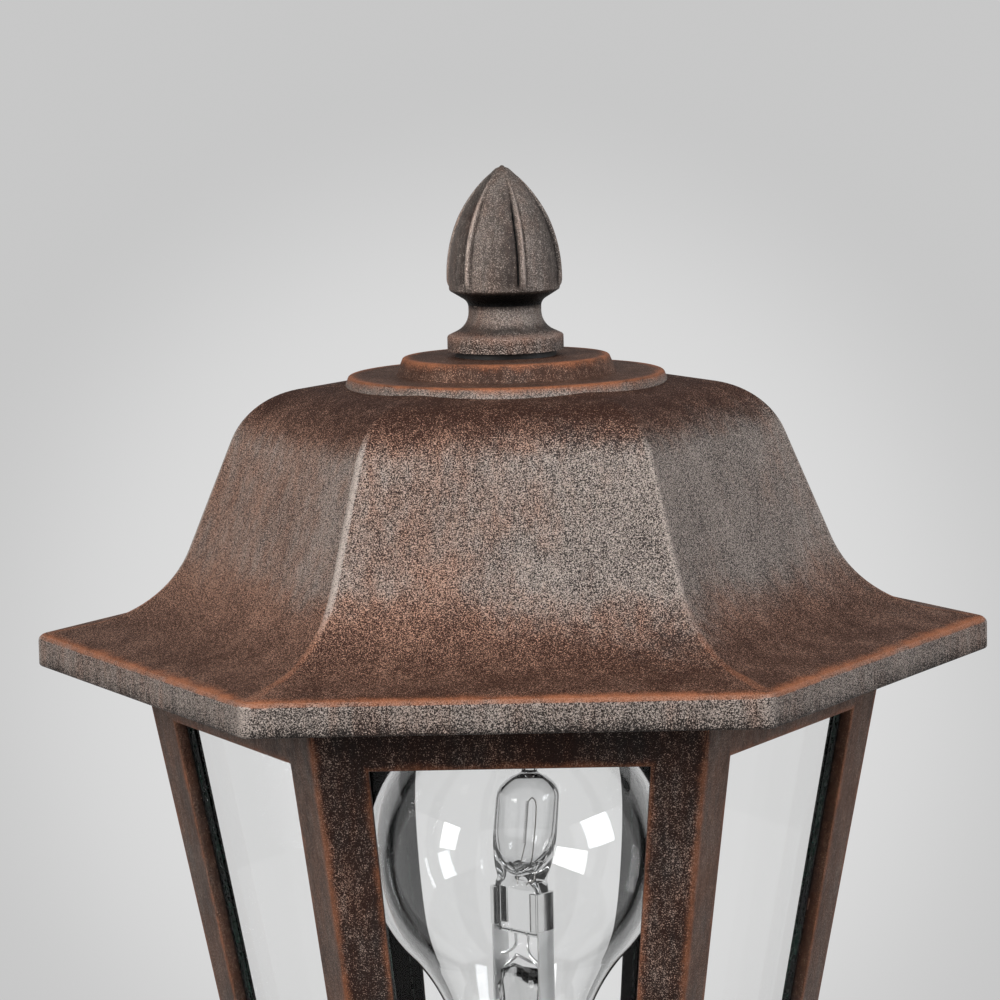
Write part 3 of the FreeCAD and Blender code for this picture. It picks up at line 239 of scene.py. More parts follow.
# %% Nodes of a material
class Nodes:
    """A short way to add nodes to a new material, or to a world, and to link them."""

    def __init__(self, name, store=bpy.data.materials):
        self.owner = store.new(name)
        self.owner.use_nodes = True
        self.tree = self.owner.node_tree
        self.output = next(node for node in self.tree.nodes if "Output" in node.bl_idname)
        self.shader = next(node for node in self.tree.nodes if "Output" not in node.bl_idname)
        self.places = self.add("TexCoord").outputs
        self.spots = self.places["Object"]

    def plug(self, target, value):
        """Link an amount or a socket to an input, or set the input to a plain value."""
        value = value.socket if isinstance(value, Amount) else value
        if isinstance(value, bpy.types.NodeSocket):
            self.tree.links.new(value, target)
        else:
            target.default_value = value

    def add(self, kind, inputs=(), **settings):
        """A new node with its settings made and its inputs filled."""
        node = self.tree.nodes.new("ShaderNode" + kind)
        for setting, value in settings.items():
            setattr(node, setting, value)
        for socket, value in dict(inputs).items():
            self.plug(node.inputs[socket], value)
        return node

    def math(self, operation, first, second=0.0, clamp=False):
        node = self.add("Math", {0: first, 1: second}, operation=operation, use_clamp=clamp)
        return Amount(self, node.outputs[0])

    def clamped(self, value):
        """The value kept between 0 and 1."""
        return self.math("ADD", value, clamp=True)

    def noise(self, scale, detail=2.0, rough=0.5, stretch=(1, 1, 1), shift=(0, 0, 0)):
        """Noise with about `scale` lumps in a metre, drawn out along an axis where stretch is under 1."""
        spots = self.add("Mapping", {"Vector": self.spots, "Scale": stretch, "Location": shift}).outputs[0]
        settings = {"Vector": spots, "Scale": scale, "Detail": detail, "Roughness": rough}
        return Amount(self, self.add("TexNoise", settings).outputs["Fac"])

    def ramp(self, value, low, high, first=0.0, last=1.0):
        """The first value up to low, the last from high on, and an easy slope between."""
        inputs = {"Value": value, "From Min": low, "From Max": high, "To Min": first, "To Max": last}
        return Amount(self, self.add("MapRange", inputs, interpolation_type="SMOOTHSTEP").outputs["Result"])

    def mix(self, amount, first, second):
        """A colour between two."""
        return self.add("Mix", {0: amount, 6: first, 7: second}, data_type="RGBA").outputs[2]

    def mark(self, name):
        return Amount(self, self.add("Attribute", attribute_name=name).outputs["Fac"])

    def bump(self, height, strength, distance):
        inputs = {"Height": height, "Strength": strength, "Distance": distance}
        self.plug(self.shader.inputs["Normal"], self.add("Bump", inputs).outputs[0])

    def feed(self, **sockets):
        """Fill the shader's sockets, with _ for a space in a socket's name."""
        for socket, value in sockets.items():
            self.plug(self.shader.inputs[socket.replace("_", " ")], value)
        return self.owner

    def seen_rays(self):
        """1 for rays that show a thing, in the camera, in a mirror or through glass, and 0 for rays that light."""
        rays = self.add("LightPath").outputs
        straight = self.math("MAXIMUM", rays["Is Camera Ray"], rays["Is Glossy Ray"])
        return self.math("MAXIMUM", straight, rays["Is Transmission Ray"])

    def blend(self, amount, first, second):
        """The surface shows a mix of two shaders."""
        mixed = self.add("MixShader", {0: amount, 1: first, 2: second}).outputs[0]
        self.plug(self.output.inputs["Surface"], mixed)
        return self.owner


def colour(red, green, blue):
    """A colour picked on a screen (0 to 255), as the linear light that shaders work in."""
    screen = np.array([red, green, blue]) / 255
    linear = np.where(screen <= 0.04045, screen / 12.92, ((screen + 0.055) / 1.055) ** 2.4)
    return (*linear.tolist(), 1.0)


# %% Rust finish
# SHADE_BLACK is painted shade: the coat turns to it where the shade mark passes 1.9.
CHARCOAL, UMBER, SHADE_BLACK = colour(32, 27, 25), colour(43, 21, 12), colour(9, 9, 9)
TAUPE, RUST, COPPER = colour(172, 159, 150), colour(182, 142, 121), colour(156, 98, 68)
SPECK, FINE, PITS, DRAG, BLOT, STREAK, RAGGED, PATCH, CLOUD = 4300, 7600, 1700, 1300, 800, 420, 200, 130, 38


def rust_finish(name, distance=None, gloss=0.0, **given):
    """Brown spray, pale speckle, grey and warm streaks, and copper along the marked edges. A piece with no marks on
    its mesh gets them as one value each, and the distance to its edges as nodes.

    Grit above `cover` is a pale grain and above `full` a bright one. Where the shade mark is higher, for thinner
    dust and for painted shade, both limits rise; from a shade of 1.9 to 2.2 the coat is painted black as shade."""
    n = Nodes(name)
    rub, warm, shade, calm = (given[mark] if mark in given else n.mark(mark) for mark in
                              ("rub", "warm", "shade", "calm"))
    edge = distance(n) if distance else n.mark("edge")
    grit = 0.65 * n.noise(SPECK, 1.5, 0.6) + 0.35 * n.noise(FINE, 1.0, shift=(3, 1, 2))
    streak = n.noise(STREAK, 3, 0.6, (1, 1, 0.07), (0.2, 0.4, 0))
    warmth = n.ramp(n.noise(CLOUD, 4, 0.6) + 0.6 * streak + 0.6 * warm, 0.75, 1.4)
    drag = n.noise(DRAG, 2, stretch=(1, 1, 0.1), shift=(6, 3, 8)) - 0.5
    patch = n.noise(PATCH, 4, 0.65, (1, 1, 0.45), (5, 2, 1)) - 0.5
    blot = n.noise(BLOT, 2, shift=(2, 7, 4)) - 0.5
    worn = 2.6 * patch + 1.4 * (blot * shade) + 1.6 * drag
    # This amount holds thinner dust and painted shade, both from the shade mark.
    thin_dust_and_shade = shade + worn * n.clamped(0.5 * shade + 0.5)
    cover = 0.43 + 0.1 * thin_dust_and_shade + 0.02 * warmth
    full = cover + 0.17 - 0.065 * thin_dust_and_shade
    dust = n.ramp(grit, cover, full)
    grains = dust + calm * (0.42 - 0.16 * thin_dust_and_shade - dust)
    coat = n.mix(grains, n.mix(warmth, CHARCOAL, UMBER), n.mix(warmth, TAUPE, RUST))
    # Painted shade: from a shade of 1.9 on, the coat turns black.
    coat = n.mix(n.ramp(shade, 1.9, 2.2), coat, SHADE_BLACK)
    ragged = 4.0 * (n.noise(RAGGED, 4, 0.6, shift=(1, 2, 3)) - 0.5) + 5.0 * (grit - 0.5)
    rubbed = n.clamped(rub * n.ramp(0.6 - edge + ragged, -1.4, 1.2))
    n.bump(grit + n.noise(PITS, 2, shift=(4, 4, 1)), 0.8, 0.00035)
    rough = 0.6 - gloss - 0.18 * (grains + calm)
    return n.feed(Base_Color=n.mix(rubbed, coat, COPPER), Roughness=rough, Specular_IOR_Level=0.15,
                  Metallic=n.clamped(0.7 * calm + 0.45 * grains))


rust = rust_finish("rust_finish")
print("finish made:", rust.name)

# %% [markdown]
# ## The bell roof
# The roof is one casting: a rim band, a shallow shelf, a flare that sweeps up into leaning sides, and a rounded
# shoulder. Every level cut through it is a hexagon with slightly eased corners, so the whole skin is one profile
# carried round a rounded hexagon. The inside is the same profile drawn in by the wall, and two turned steps sit
# on top.

# %% Roof profile
RIM_Z, WALL = 902.0, 3.2
RIM_AP, RIM_H, SHELF, HIP_AP, SIDE = 82.25, 6.4, np.radians(11.5), 59.85, np.radians(19.9)
SHOULDER_H, CROWN_SLOPE, LOW_STEP_R = 53.6, np.radians(6.9), 31.2
HIP_H = RIM_H + (RIM_AP - HIP_AP) * np.tan(SHELF)
SHOULDER_AP = HIP_AP - (SHOULDER_H - HIP_H) * np.tan(SIDE)
CROWN_AP = LOW_STEP_R * np.cos(np.pi / 6)
CROWN_H = SHOULDER_H + (SHOULDER_AP - CROWN_AP) * np.tan(CROWN_SLOPE)
STUD_HOLE_R, RIM_CORNER, RIDGE_CORNER, SKIN_STEP, LINING_STEP = 3.5, 2.05, 0.9, 2.5, 6.0


def hexagonal(line, corner, flats=9, arcs=6, even=False):
    """A line of (apothem, height) carried round a hexagon whose corners have a radius.

    Each corner is an arc about a point on the corner's direction, (apothem - radius) / cos 30 out, and the flats
    between two arcs are straight. Returns points in rows and columns and each point's distance from its corner."""
    apothem, height = line[:, 0], line[:, 1]
    radius = np.minimum(corner, 0.45 * apothem)
    turn = np.radians(60) * np.arange(6)
    sweep = np.radians(np.linspace(-30, 30, arcs + 1))
    angle = turn[:, None] + sweep
    out = ((apothem - radius) / np.cos(np.pi / 6))[:, None, None]
    ring = np.stack([out * np.cos(turn)[:, None] + radius[:, None, None] * np.cos(angle),
                     out * np.sin(turn)[:, None] + radius[:, None, None] * np.sin(angle)], axis=-1)
    start, end = ring[:, :, -1], np.roll(ring, -1, axis=1)[:, :, 0]
    share = np.linspace(0, 1, flats + 1)[1:-1]
    share = share if even else (1 - np.cos(np.pi * share)) / 2
    straight = start[:, :, None] + (end - start)[:, :, None] * share[:, None]
    level = np.concatenate([ring, straight], axis=2)
    length = np.linalg.norm(end - start, axis=-1)[:, :, None]
    away = np.minimum(share, 1 - share) * length
    beside = np.concatenate([np.zeros(ring.shape[:3]), away], axis=2)
    rows, columns = len(line), level.shape[1] * level.shape[2]
    points = np.concatenate([level.reshape(rows, columns, 2), np.repeat(height[:, None, None], columns, 1)], axis=2)
    return points, beside.reshape(rows, columns)


outer = rounded([(RIM_AP - 1.2, 0, 0), (RIM_AP, 0, 0.7), (RIM_AP, RIM_H, 1.6), (HIP_AP, HIP_H, 23.0),
                 (SHOULDER_AP, SHOULDER_H, 15.5), (CROWN_AP, CROWN_H, 0), (STUD_HOLE_R, CROWN_H, 0)], step=4)
print("roof profile points:", len(outer))

# %% Roof marks
# LEFT and RIGHT are the sides favoured by the roof's painted light and painted shade. The head's range is browner
# and also painted darker as shade.
LEFT, RIGHT = np.radians([-150, -60])
FOOT_BROWN, HEAD_BROWN_SHADE, RIDGE_RUBBED = (RIM_H + 3, RIM_H + 16), (45, 53), (HIP_H, HIP_H + 12)


def near(line, spots):
    """Distance from each point of a line to the nearest of some spots, as a column."""
    return np.min(np.linalg.norm(line[:, None] - np.array(spots)[None], axis=-1), axis=1)[:, None]


def rise(values, low, high):
    """0 up to low, 1 from high on, and a straight slope between."""
    return np.clip((values - low) / (high - low), 0, 1)


def plain(points, **closes):
    """A shell with the marks of a face in shade, inside or underneath: painted black as shade, not dusted and not
    rubbed.
    """
    return sheet(points, **closes, edge=9, rub=0, warm=0.3, shade=2.2, calm=0)


# %% Bell
def bell_skin():
    """Outer skin and underside of the bell, from the top hole out to the rim and back in under the wall.

    The foot and the head of the bell are left brown, the faces between are dusted and the rim is rubbed to copper.
    The ridges and the rim's corners are painted pale as a highlight, more on the left. The left side is painted a
    little warmer and lighter, as painted light from the left. Painted shade darkens the head, the rim's bottom edge
    and the foot at the front and right."""
    skin = finer(outer, SKIN_STEP)
    inner = rounded([(RIM_AP - 1.2, 0, 0), (RIM_AP - WALL, 0, 0.7),
                     (RIM_AP - WALL, RIM_H - WALL * np.tan((np.pi / 2 - SHELF) / 2), 0.5),
                     (HIP_AP - WALL * np.tan((np.pi / 2 - SIDE + SHELF) / 2) * 0.95, HIP_H - WALL * 1.02, 26.0),
                     (SHOULDER_AP - WALL * 0.95, SHOULDER_H - WALL * 0.8, 12.3),
                     (CROWN_AP - WALL * 0.3, CROWN_H - WALL, 0), (STUD_HOLE_R, CROWN_H - WALL, 0)], step=8)
    loop = np.concatenate([skin[::-1], finer(inner, LINING_STEP)[1:]])
    height = loop[:, 1:]
    corner = np.interp(height[:, 0], [RIM_H, RIM_H + 3], [RIM_CORNER, RIDGE_CORNER])
    points, beside = hexagonal(loop, corner, flats=17)
    outside = (np.arange(len(loop)) < len(skin))[:, None]
    on_bell = outside & (height > RIM_H)
    rim = near(loop, [(RIM_AP - 0.6, RIM_H - 0.1)]) * np.where(height < RIM_H - 0.8, 1.9, 0.75)
    ridge = 2.5 * beside + 0.5
    low, foot, head = 1 - rise(height, *RIDGE_RUBBED), 1 - rise(height, *FOOT_BROWN), rise(height, *HEAD_BROWN_SHADE)
    # Painted shade along the rim's bottom edge.
    under = (1 - rise(height, 0, 2.4)) * outside
    facing = np.arctan2(points[..., 1], points[..., 0])
    to_left, to_right = (np.clip(np.cos(facing - side), 0, 1) for side in (LEFT, RIGHT))
    # Painted light: the left side is painted warmer and a little lighter, as lit from the left.
    left_warm_light = 0.5 * to_left * rise(height, RIM_H, RIM_H + 6)
    # Painted highlight: the ridges and rim corners are painted pale, more on the left.
    pale = (1 - rise(beside, 0, 0.5)) * outside * np.where(on_bell, 1 - np.maximum(head, 0.8 * foot), 0.6)
    pale = pale * (0.4 + 0.6 * to_left)
    warm = np.where(height > RIM_H, np.maximum(foot, head), 0.12) + left_warm_light - 0.9 * pale
    # Painted shade: the head, the rim's bottom edge and the foot at the front and right are darker.
    shade = 0.45 * (warm - 1.3 * left_warm_light) + 0.7 * head - pale + 0.9 * under + 0.25 * to_right * foot * on_bell
    rub = np.where(rim < ridge, np.clip(1.0 - rim / 5, 0, 0.8), np.where(on_bell, 0.4 * low, 0)) * outside
    return sheet(points, rows_close=True, edge=np.where(on_bell, np.minimum(rim, ridge), rim), rub=rub, warm=warm,
                 shade=shade, calm=0)


# %% Steps, seat and roof
def steps_skin():
    """The two turned steps on the crown, down to a root inside the bell's wall."""
    draft = np.tan(np.radians(22))
    low_top, high_top, high_r, root = 57.1, 60.5, 20.4, SHOULDER_H
    line = finer(rounded([(STUD_HOLE_R, root, 0), (LOW_STEP_R + (low_top - root) * draft, root, 0),
                          (LOW_STEP_R, low_top, 0.6), (high_r + (high_top - low_top) * draft, low_top, 0),
                          (high_r, high_top, 0.6), (STUD_HOLE_R, high_top, 0)], step=15), 2.0)
    edge = near(line, [(LOW_STEP_R - 0.4, low_top), (high_r - 0.4, high_top)])
    warm = np.where(line[:, 1:] > low_top - 0.3, 0.95, 0.1)
    rub = 0.9 * np.clip(1.3 - edge / 2.5, 0, 1)
    return sheet(lathe(line, round_angles(192)), rows_close=True, edge=edge, rub=rub, warm=warm, shade=warm,
                 calm=0.3)


def seat_skin():
    """The ribbed seat under the roof that drops over the top of the cage."""
    top, lip, rib, cage_top = 6.5, 3.0, 2.2, 65.4
    out, recess, bore = cage_top + 2.5, cage_top + 0.5, cage_top - 4.0
    line = np.array([(out, top - lip), (out, top + rib), (bore, top + rib), (bore, top), (recess, top),
                     (recess, top - lip)])
    return plain(hexagonal(line, 0.3)[0], rows_close=True)


roof = placed(join(bell_skin(), steps_skin(), seat_skin()), (0, 0, RIM_Z))
make_piece("bell_roof", roof, rust, "roof", stands_for=["roof"])

# %% [markdown]
# ## The acorn finial
# A turned acorn with a coved neck and a flange, and six thin raised ribs that run up to the tip. It is a lathe
# form whose radius swells at each rib by half an ellipse, so ribs and body are one skin. Columns crowd together
# at the ribs, where the surface bends, and spread out between them. Each lobe is painted darker towards one side,
# a painted shade as if lit from the other. Painted shade lies in the cove and the grooves, a painted shadow under
# the belly and a painted highlight on the rib crests and the flange's edge; the flange and the tip are darker.

# %% Finial profile
FINIAL_Z, RIB_TURN, RIB_HALF, RIB_RISE, GROOVE = 963.7, 50.0, 0.65, 0.65, 0.15
FLANGE_R, FLANGE_H, BORE_R, BORE_H = 11.5, 2.9, 3.05, 14.0
# BELLY_UNDER is the height of the painted shadow under the belly, COVE_H that of the painted shade in the cove, and
# TIP_DARKER the heights over which the acorn grows darker.
RIB_START, RIB_END, TIP_DARKER, BELLY_UNDER, COVE_H = (12.4, 13.2), (26.5, 34.5), (24, 34), 10.2, 4.4


def acorn_line():
    """Flange, cove, neck and acorn from the bore's edge at the foot up to the tip."""
    belly, top, reach, curve, neck = 14.5, 36.3, 10.95, 28.0, 7.2
    lower = rounded([(BORE_R, 0, 0), (FLANGE_R, 0, 0), (FLANGE_R, FLANGE_H, 0.6), (neck, 4.9, 4.2),
                     (neck, 9.6, 2.0), (reach, 11.9, 0.6), (reach, belly, 0)], step=9)
    climb = np.linspace(0, 1, 40)[1:] * (top - 0.6 - belly)
    ogive = np.stack([reach - curve + np.sqrt(curve ** 2 - climb ** 2), belly + climb], axis=1)
    tip = np.array([(0.55, top - 0.35), (0.3, top - 0.08), (0.0, top)])
    return np.concatenate([finer(lower, 0.8), ogive[ogive[:, 0] > 0.75], tip])


print("finial profile points:", len(acorn_line()))

# %% Finial skin
def acorn_skin():
    """The acorn's radius grows by a rib's half ellipse where a column lies within the rib's half width, and sinks
    a little in the groove at each side of the rib."""
    line = acorn_line()
    close = np.concatenate([np.linspace(-8, 8, 33), np.linspace(8, 52, 11)[1:-1]])
    angle = np.radians((RIB_TURN + 60 * np.arange(6)[:, None] + close).ravel())
    off = np.radians(np.tile(np.where(close > 30, close - 60, close), 6))
    radius, height = line[:, :1], line[:, 1:]
    across = np.abs(radius * off) / RIB_HALF / np.clip(radius / 9, 0.35, 1)
    start, fade = rise(height, *RIB_START), 1 - rise(height, *RIB_END)
    swell = np.sqrt(np.clip(1 - across ** 2, 0, 1)) * start * np.sqrt(fade)
    groove = np.exp(-((across - 1.35) / 0.35) ** 2) * start * fade
    r = radius + RIB_RISE * swell - GROOVE * groove
    points = np.stack([r * np.cos(angle), r * np.sin(angle), height + 0 * angle], axis=-1)
    bore = lathe(np.array([(BORE_R, 0.0), (BORE_R, BORE_H), (0.0, BORE_H)]), angle)
    flange = near(line, [(FLANGE_R - 0.4, FLANGE_H)])
    # Painted shadow under the belly, dark enough to turn black.
    under = np.clip(1.7 - np.abs(height - BELLY_UNDER) / 1.3, 0, 1)
    # Painted shade on one side of each lobe, as if lit from the other side.
    lobe_shade = (np.mod(off, np.pi / 3) / (np.pi / 3)) ** 1.4 * start * fade
    # Painted shade in the cove, and a painted highlight on the flange's edge.
    cove = np.exp(-((height - COVE_H) / 0.9) ** 2) - 0.4 * np.exp(-(flange / 0.8) ** 2)
    # Painted shade in the grooves and painted highlights on the rib crests; darker towards the tip.
    shade = 1.5 * lobe_shade + 1.2 * groove - 1.5 * swell + 2.8 * under + 1.5 * cove + 0.7 * rise(height, *TIP_DARKER)
    # The flange below 3 mm is darker.
    skin = sheet(points, edge=np.minimum(flange, 6 - 5 * swell), rub=np.where(flange < 2, 0.25, 0.15), warm=0.2,
                 shade=shade + np.where(height < 3, 0.45, 0.0), calm=np.where(height < 4, 0.2, 0.5))
    return join(skin, plain(bore))


make_piece("acorn_finial", placed(acorn_skin(), (0, 0, FINIAL_Z)), rust_finish("rust_acorn", gloss=0.05), "finial",
           stands_for=["finial"], sharp=50)

# %% [markdown]
# ## The glazed cage
# Six leaning walls are cast in one with the floor. Each wall is a frame round a tapering window, so its faces are
# a ring: from the wall's outline in to the window's edge on the outside, through the wall, and back out on the
# inside. Worked out in the wall's own flat coordinates, the ring also knows how far each point is from the window
# and from the corner of the post, which is where the finish is rubbed.

# %% Cage sizes
CAGE_Z, CAGE_H, FOOT_AP, TOP_AP, CAGE_WALL = 758.0, 150.5, 40.0, 65.4, 3.0
SILL_H, HEAD_H, POST_FOOT, POST_TOP, POST_ROUND = 16.0, 150.5 - 16.8, 6.9, 10.1, 0.8
LEAN = (TOP_AP - FOOT_AP) / CAGE_H
SLANT = np.hypot(1, LEAN)
TAN30 = np.tan(np.pi / 6)
EASE = 0.45


def wall_apothem(height, inset=0.0):
    """Apothem of the walls at a height above the cage's foot, drawn in square to the wall."""
    return FOOT_AP + LEAN * height - inset * SLANT


def window_half(height):
    """Half the window's width at a height: straight edges from sill to head."""
    foot = wall_apothem(SILL_H) * TAN30 - POST_FOOT
    top = wall_apothem(HEAD_H) * TAN30 - POST_TOP
    return foot + (top - foot) * (height - SILL_H) / (HEAD_H - SILL_H)


def segment_distance(points, a, b):
    """Distance of flat points from the segment between two flat corners."""
    a, b = np.array(a, dtype=float), np.array(b, dtype=float)
    t = np.clip((points - a) @ (b - a) / ((b - a) @ (b - a)), 0, 1)
    return np.linalg.norm(points - (a + t[..., None] * (b - a)), axis=-1)


print("window widths at sill and head:", [round(2 * window_half(h), 1) for h in (SILL_H, HEAD_H)])

# %% Cage walls
LEDGE_H, LEDGE_IN, FLOOR_H, HOLE_AP, HOLE_ROUND = 11.0, 5.0, 4.0, 5.2, 2.3
# SIDE_CALM paints the four side walls more even and lighter than the front and back: painted light from the side
# lamps.
LUG_LOW, LUG_HIGH, SIDE_CALM = 140.0, 146.0, 0.55


def outline(low, high, half_low, half_high, count=12):
    """A four-sided outline of (across, height) points, evenly spaced on each side, starting at the lower left."""
    corners = np.array([(-half_low, low), (half_low, low), (half_high, high), (-half_high, high)])
    share = np.linspace(0, 1, count, endpoint=False)[:, None]
    return np.concatenate([a + share * (b - a) for a, b in zip(corners, np.roll(corners, -1, axis=0))])


def wall_ring(calm):
    """One wall's faces as rows of outlines: outer outline, window, through the wall, inner outline."""
    def window(grow):
        return outline(SILL_H - grow, HEAD_H + grow, window_half(SILL_H) + grow, window_half(HEAD_H) + grow)

    full = outline(0, CAGE_H, (FOOT_AP - POST_ROUND) * TAN30, (TOP_AP - POST_ROUND) * TAN30)
    back = outline(LEDGE_H, CAGE_H, *(wall_apothem(height, CAGE_WALL) * TAN30 for height in (LEDGE_H, CAGE_H)))
    eased, clear = window(EASE), window(0)
    shares = (0, 0.06, 0.12, 0.2, 0.35, 0.5, 0.65, 0.8, 0.88, 0.94, 1)
    rows = [(full + (eased - full) * share, 0) for share in shares]
    rows += [(window(EASE * 0.3), EASE * 0.3), (clear, EASE), (clear, CAGE_WALL - EASE), (eased, CAGE_WALL),
             (eased + (back - eased) * 0.5, CAGE_WALL), (back, CAGE_WALL)]
    flat, depth = np.stack([row for row, _ in rows]), np.array([[depth] for _, depth in rows])
    ahead = -(wall_apothem(flat[..., 1]) - depth * SLANT)
    points = np.stack([flat[..., 0], ahead, flat[..., 1]], axis=-1)
    bars = ((window_half(SILL_H), SILL_H), (window_half(HEAD_H), HEAD_H), (FOOT_AP * TAN30, 0),
            (TOP_AP * TAN30, CAGE_H))
    sill, head, foot, top = ([(-half, height), (half, height)] for half, height in bars)
    edges = [sill, head, *zip(sill, head), *zip(foot, top)]
    edge = np.min([segment_distance(flat, *ends) for ends in edges], axis=0) + 0.25
    shown = np.clip(1 - depth / 2.2, 0, 1) * np.where(depth > EASE / 2, 0.45, 1)
    # Painted shadow of the roof: darker up the top rail.
    roof_shadow = np.clip((flat[..., 1] - HEAD_H) / 6, 0, 0.4)
    # Painted shade: the outer faces are darkened as in the shade of the roof's overhang, the side walls (calm) are
    # painted a little lighter as lit by the side lamps, and the inner faces are painted black as shade.
    shade = np.where(depth < CAGE_WALL / 2, 0.95 - 0.35 * calm + roof_shadow, 2.2)
    rub = 0.6 * np.clip(1.4 - edge / 2.2, 0, 1) * shown
    return sheet(points, edge=edge, rub=rub, warm=0.5, shade=shade, calm=calm)


def post_corner(steps=4):
    """The rounded corner between two walls: an arc carried up the post, from one wall's edge to the other's."""
    height = np.linspace(0, CAGE_H, 13)[:, None]
    out = (wall_apothem(height) - POST_ROUND) / np.cos(np.pi / 6)
    corner, angle = np.radians(-60), np.radians(np.linspace(-90, -30, steps + 1))
    points = np.stack([out * np.cos(corner) + POST_ROUND * np.cos(angle),
                       out * np.sin(corner) + POST_ROUND * np.sin(angle), height + 0 * angle], axis=-1)
    # Shade 1.0: the posts' corners take the cage's painted shade under the roof.
    return sheet(points, columns_close=False, edge=0.2, rub=0.5, warm=0.5, shade=1.0, calm=0.2)


# %% Rings, lugs and cage
def cage_rings():
    """Level rings that close the cage: its top edge, ledge, well and underside, each a rounded or plain hexagon."""
    def levels(*rings):
        return plain(np.concatenate([hexagonal(np.array([(apothem, height)]), corner, 12, 4, True)[0]
                                     for apothem, height, corner in rings]))

    ledge, well, sharp = wall_apothem(LEDGE_H, CAGE_WALL), wall_apothem(LEDGE_H, CAGE_WALL) - LEDGE_IN, 0.01
    return [levels((TOP_AP, CAGE_H, POST_ROUND), (wall_apothem(CAGE_H, CAGE_WALL), CAGE_H, sharp)),
            levels((ledge, LEDGE_H, sharp), (well, LEDGE_H, sharp), (well, FLOOR_H, sharp),
                   (HOLE_AP, FLOOR_H, HOLE_ROUND), (HOLE_AP, 0, HOLE_ROUND), (FOOT_AP, 0, POST_ROUND))]


def bow_lugs():
    """Two small shelves in the corners at the sides, which carry the bow inside the roof: five-sided plates."""
    ring = np.array([(72.6, 0), (66.2, 11.2), (55.1, 7), (55.1, -7), (66.2, -11.2)])
    rows = [(0.0, LUG_LOW), (1.0, LUG_LOW), (1.0, LUG_HIGH), (0.0, LUG_HIGH)]
    middle = ring.mean(axis=0)
    plate = np.stack([np.column_stack([middle + size * (ring - middle), np.full(len(ring), height)])
                      for size, height in rows])
    return [placed(plain(plate), turn=side) for side in (0, 180)]


walls = [placed(shell, turn=60 * k) for k in range(6)
         for shell in (wall_ring(0.0 if k in (0, 3) else SIDE_CALM), post_corner())]
cage = placed(join(*walls, *cage_rings(), *bow_lugs()), (0, 0, CAGE_Z))
make_piece("cage_casting", cage, rust, "post", stands_for=["lantern_cage"], sharp=35, merge=0.02)

# %% [markdown]
# ## The panes
# Each window has a flat pane behind it, a little larger than the opening and standing on the cage's ledge. Clear
# glass shows mostly at its edges, where light runs through the whole sheet and comes out dark green. So each pane
# is a plate with two clear faces and a ground edge of its own finish.

# %% Glass finishes
def clear_glass(name, tint, index, ripple):
    """Clear glass with a faint unevenness in its surface and a very faint change of tint."""
    n = Nodes(name)
    n.bump(n.noise(30, detail=1), ripple, 0.0001)
    paler = tuple(0.5 + 0.5 * value for value in tint[:3]) + (1.0,)
    return n.feed(Base_Color=n.mix(n.noise(25, detail=1), tint, paler), Roughness=0.0, IOR=index,
                  Transmission_Weight=1.0)


def ground_edge(name):
    """The cut edge of a pane: deep green, slightly frosted, darker in patches."""
    n = Nodes(name)
    tone = n.mix(n.ramp(n.noise(140, detail=3), 0.4, 0.7), colour(3, 10, 9), colour(16, 54, 42))
    n.bump(n.noise(500, detail=2), 0.5, 0.0004)
    return n.feed(Base_Color=tone, Roughness=n.ramp(n.noise(900), -0.5, 2.5), IOR=1.5)


pane_clear = clear_glass("pane_glass", (0.998, 1.0, 0.999, 1.0), 1.2, 0.01)
pane_edge = ground_edge("pane_edge")
print("pane finishes:", pane_clear.name, pane_edge.name)

# %% Panes
PANE, PANE_GAP, PANE_LAP, PANE_TOP_LAP, PANE_EASE = 3.0, 0.3, 2.5, 3.5, 0.3


def pane_plate():
    """A tapering plate: rows of outlines from the outer face's middle, over the eased edge, to the inner one's."""
    low, high = LEDGE_H, HEAD_H + PANE_TOP_LAP
    half_low, half_high = window_half(low) + PANE_LAP, window_half(high) + PANE_LAP

    def level(shrink):
        return outline(low + shrink, high - shrink, half_low - shrink, half_high - shrink, count=6)

    middle = np.repeat([[0, (low + high) / 2]], 24, axis=0)
    rows = np.stack([middle, level(PANE_EASE), level(0), level(0), level(PANE_EASE), middle])
    depth = np.array([0, 0, PANE_EASE, PANE - PANE_EASE, PANE, PANE])[:, None] + CAGE_WALL + PANE_GAP
    points = np.stack([rows[..., 0], depth * SLANT - wall_apothem(rows[..., 1]), rows[..., 1]], axis=-1)
    return sheet(points)


plate = pane_plate()
for k, side in enumerate(("front", "front_right", "back_right", "back", "back_left", "front_left")):
    glass = make_piece(f"glass_{side}", placed(plate, (0, 0, CAGE_Z), 60 * k), pane_clear, "post",
                       stands_for=[f"pane_{side}"])
    glass.data.materials.append(pane_edge)
    normal = np.zeros(3 * len(glass.data.polygons), dtype=np.float32)
    glass.data.polygons.foreach_get("normal", normal)
    toward = np.radians(60 * k - 90)
    facing = np.array([np.cos(toward), np.sin(toward), -LEAN]) / SLANT
    ground = np.abs(normal.reshape(-1, 3) @ facing) < 0.9
    glass.data.polygons.foreach_set("material_index", ground.astype(np.int32))

# %% [markdown]
# ## The bulb
# A clear household bulb: a ball drawn down to a narrow neck, blown so thin that both of its walls bend the light.
# Inside stands a small quartz capsule whose lower end is pinched flat, held at its edges by two metal straps. The
# ball is a turned profile of arcs. The capsule's section changes from a circle to a flat bar, so it is a
# superellipse whose two half widths and sharpness change with height.

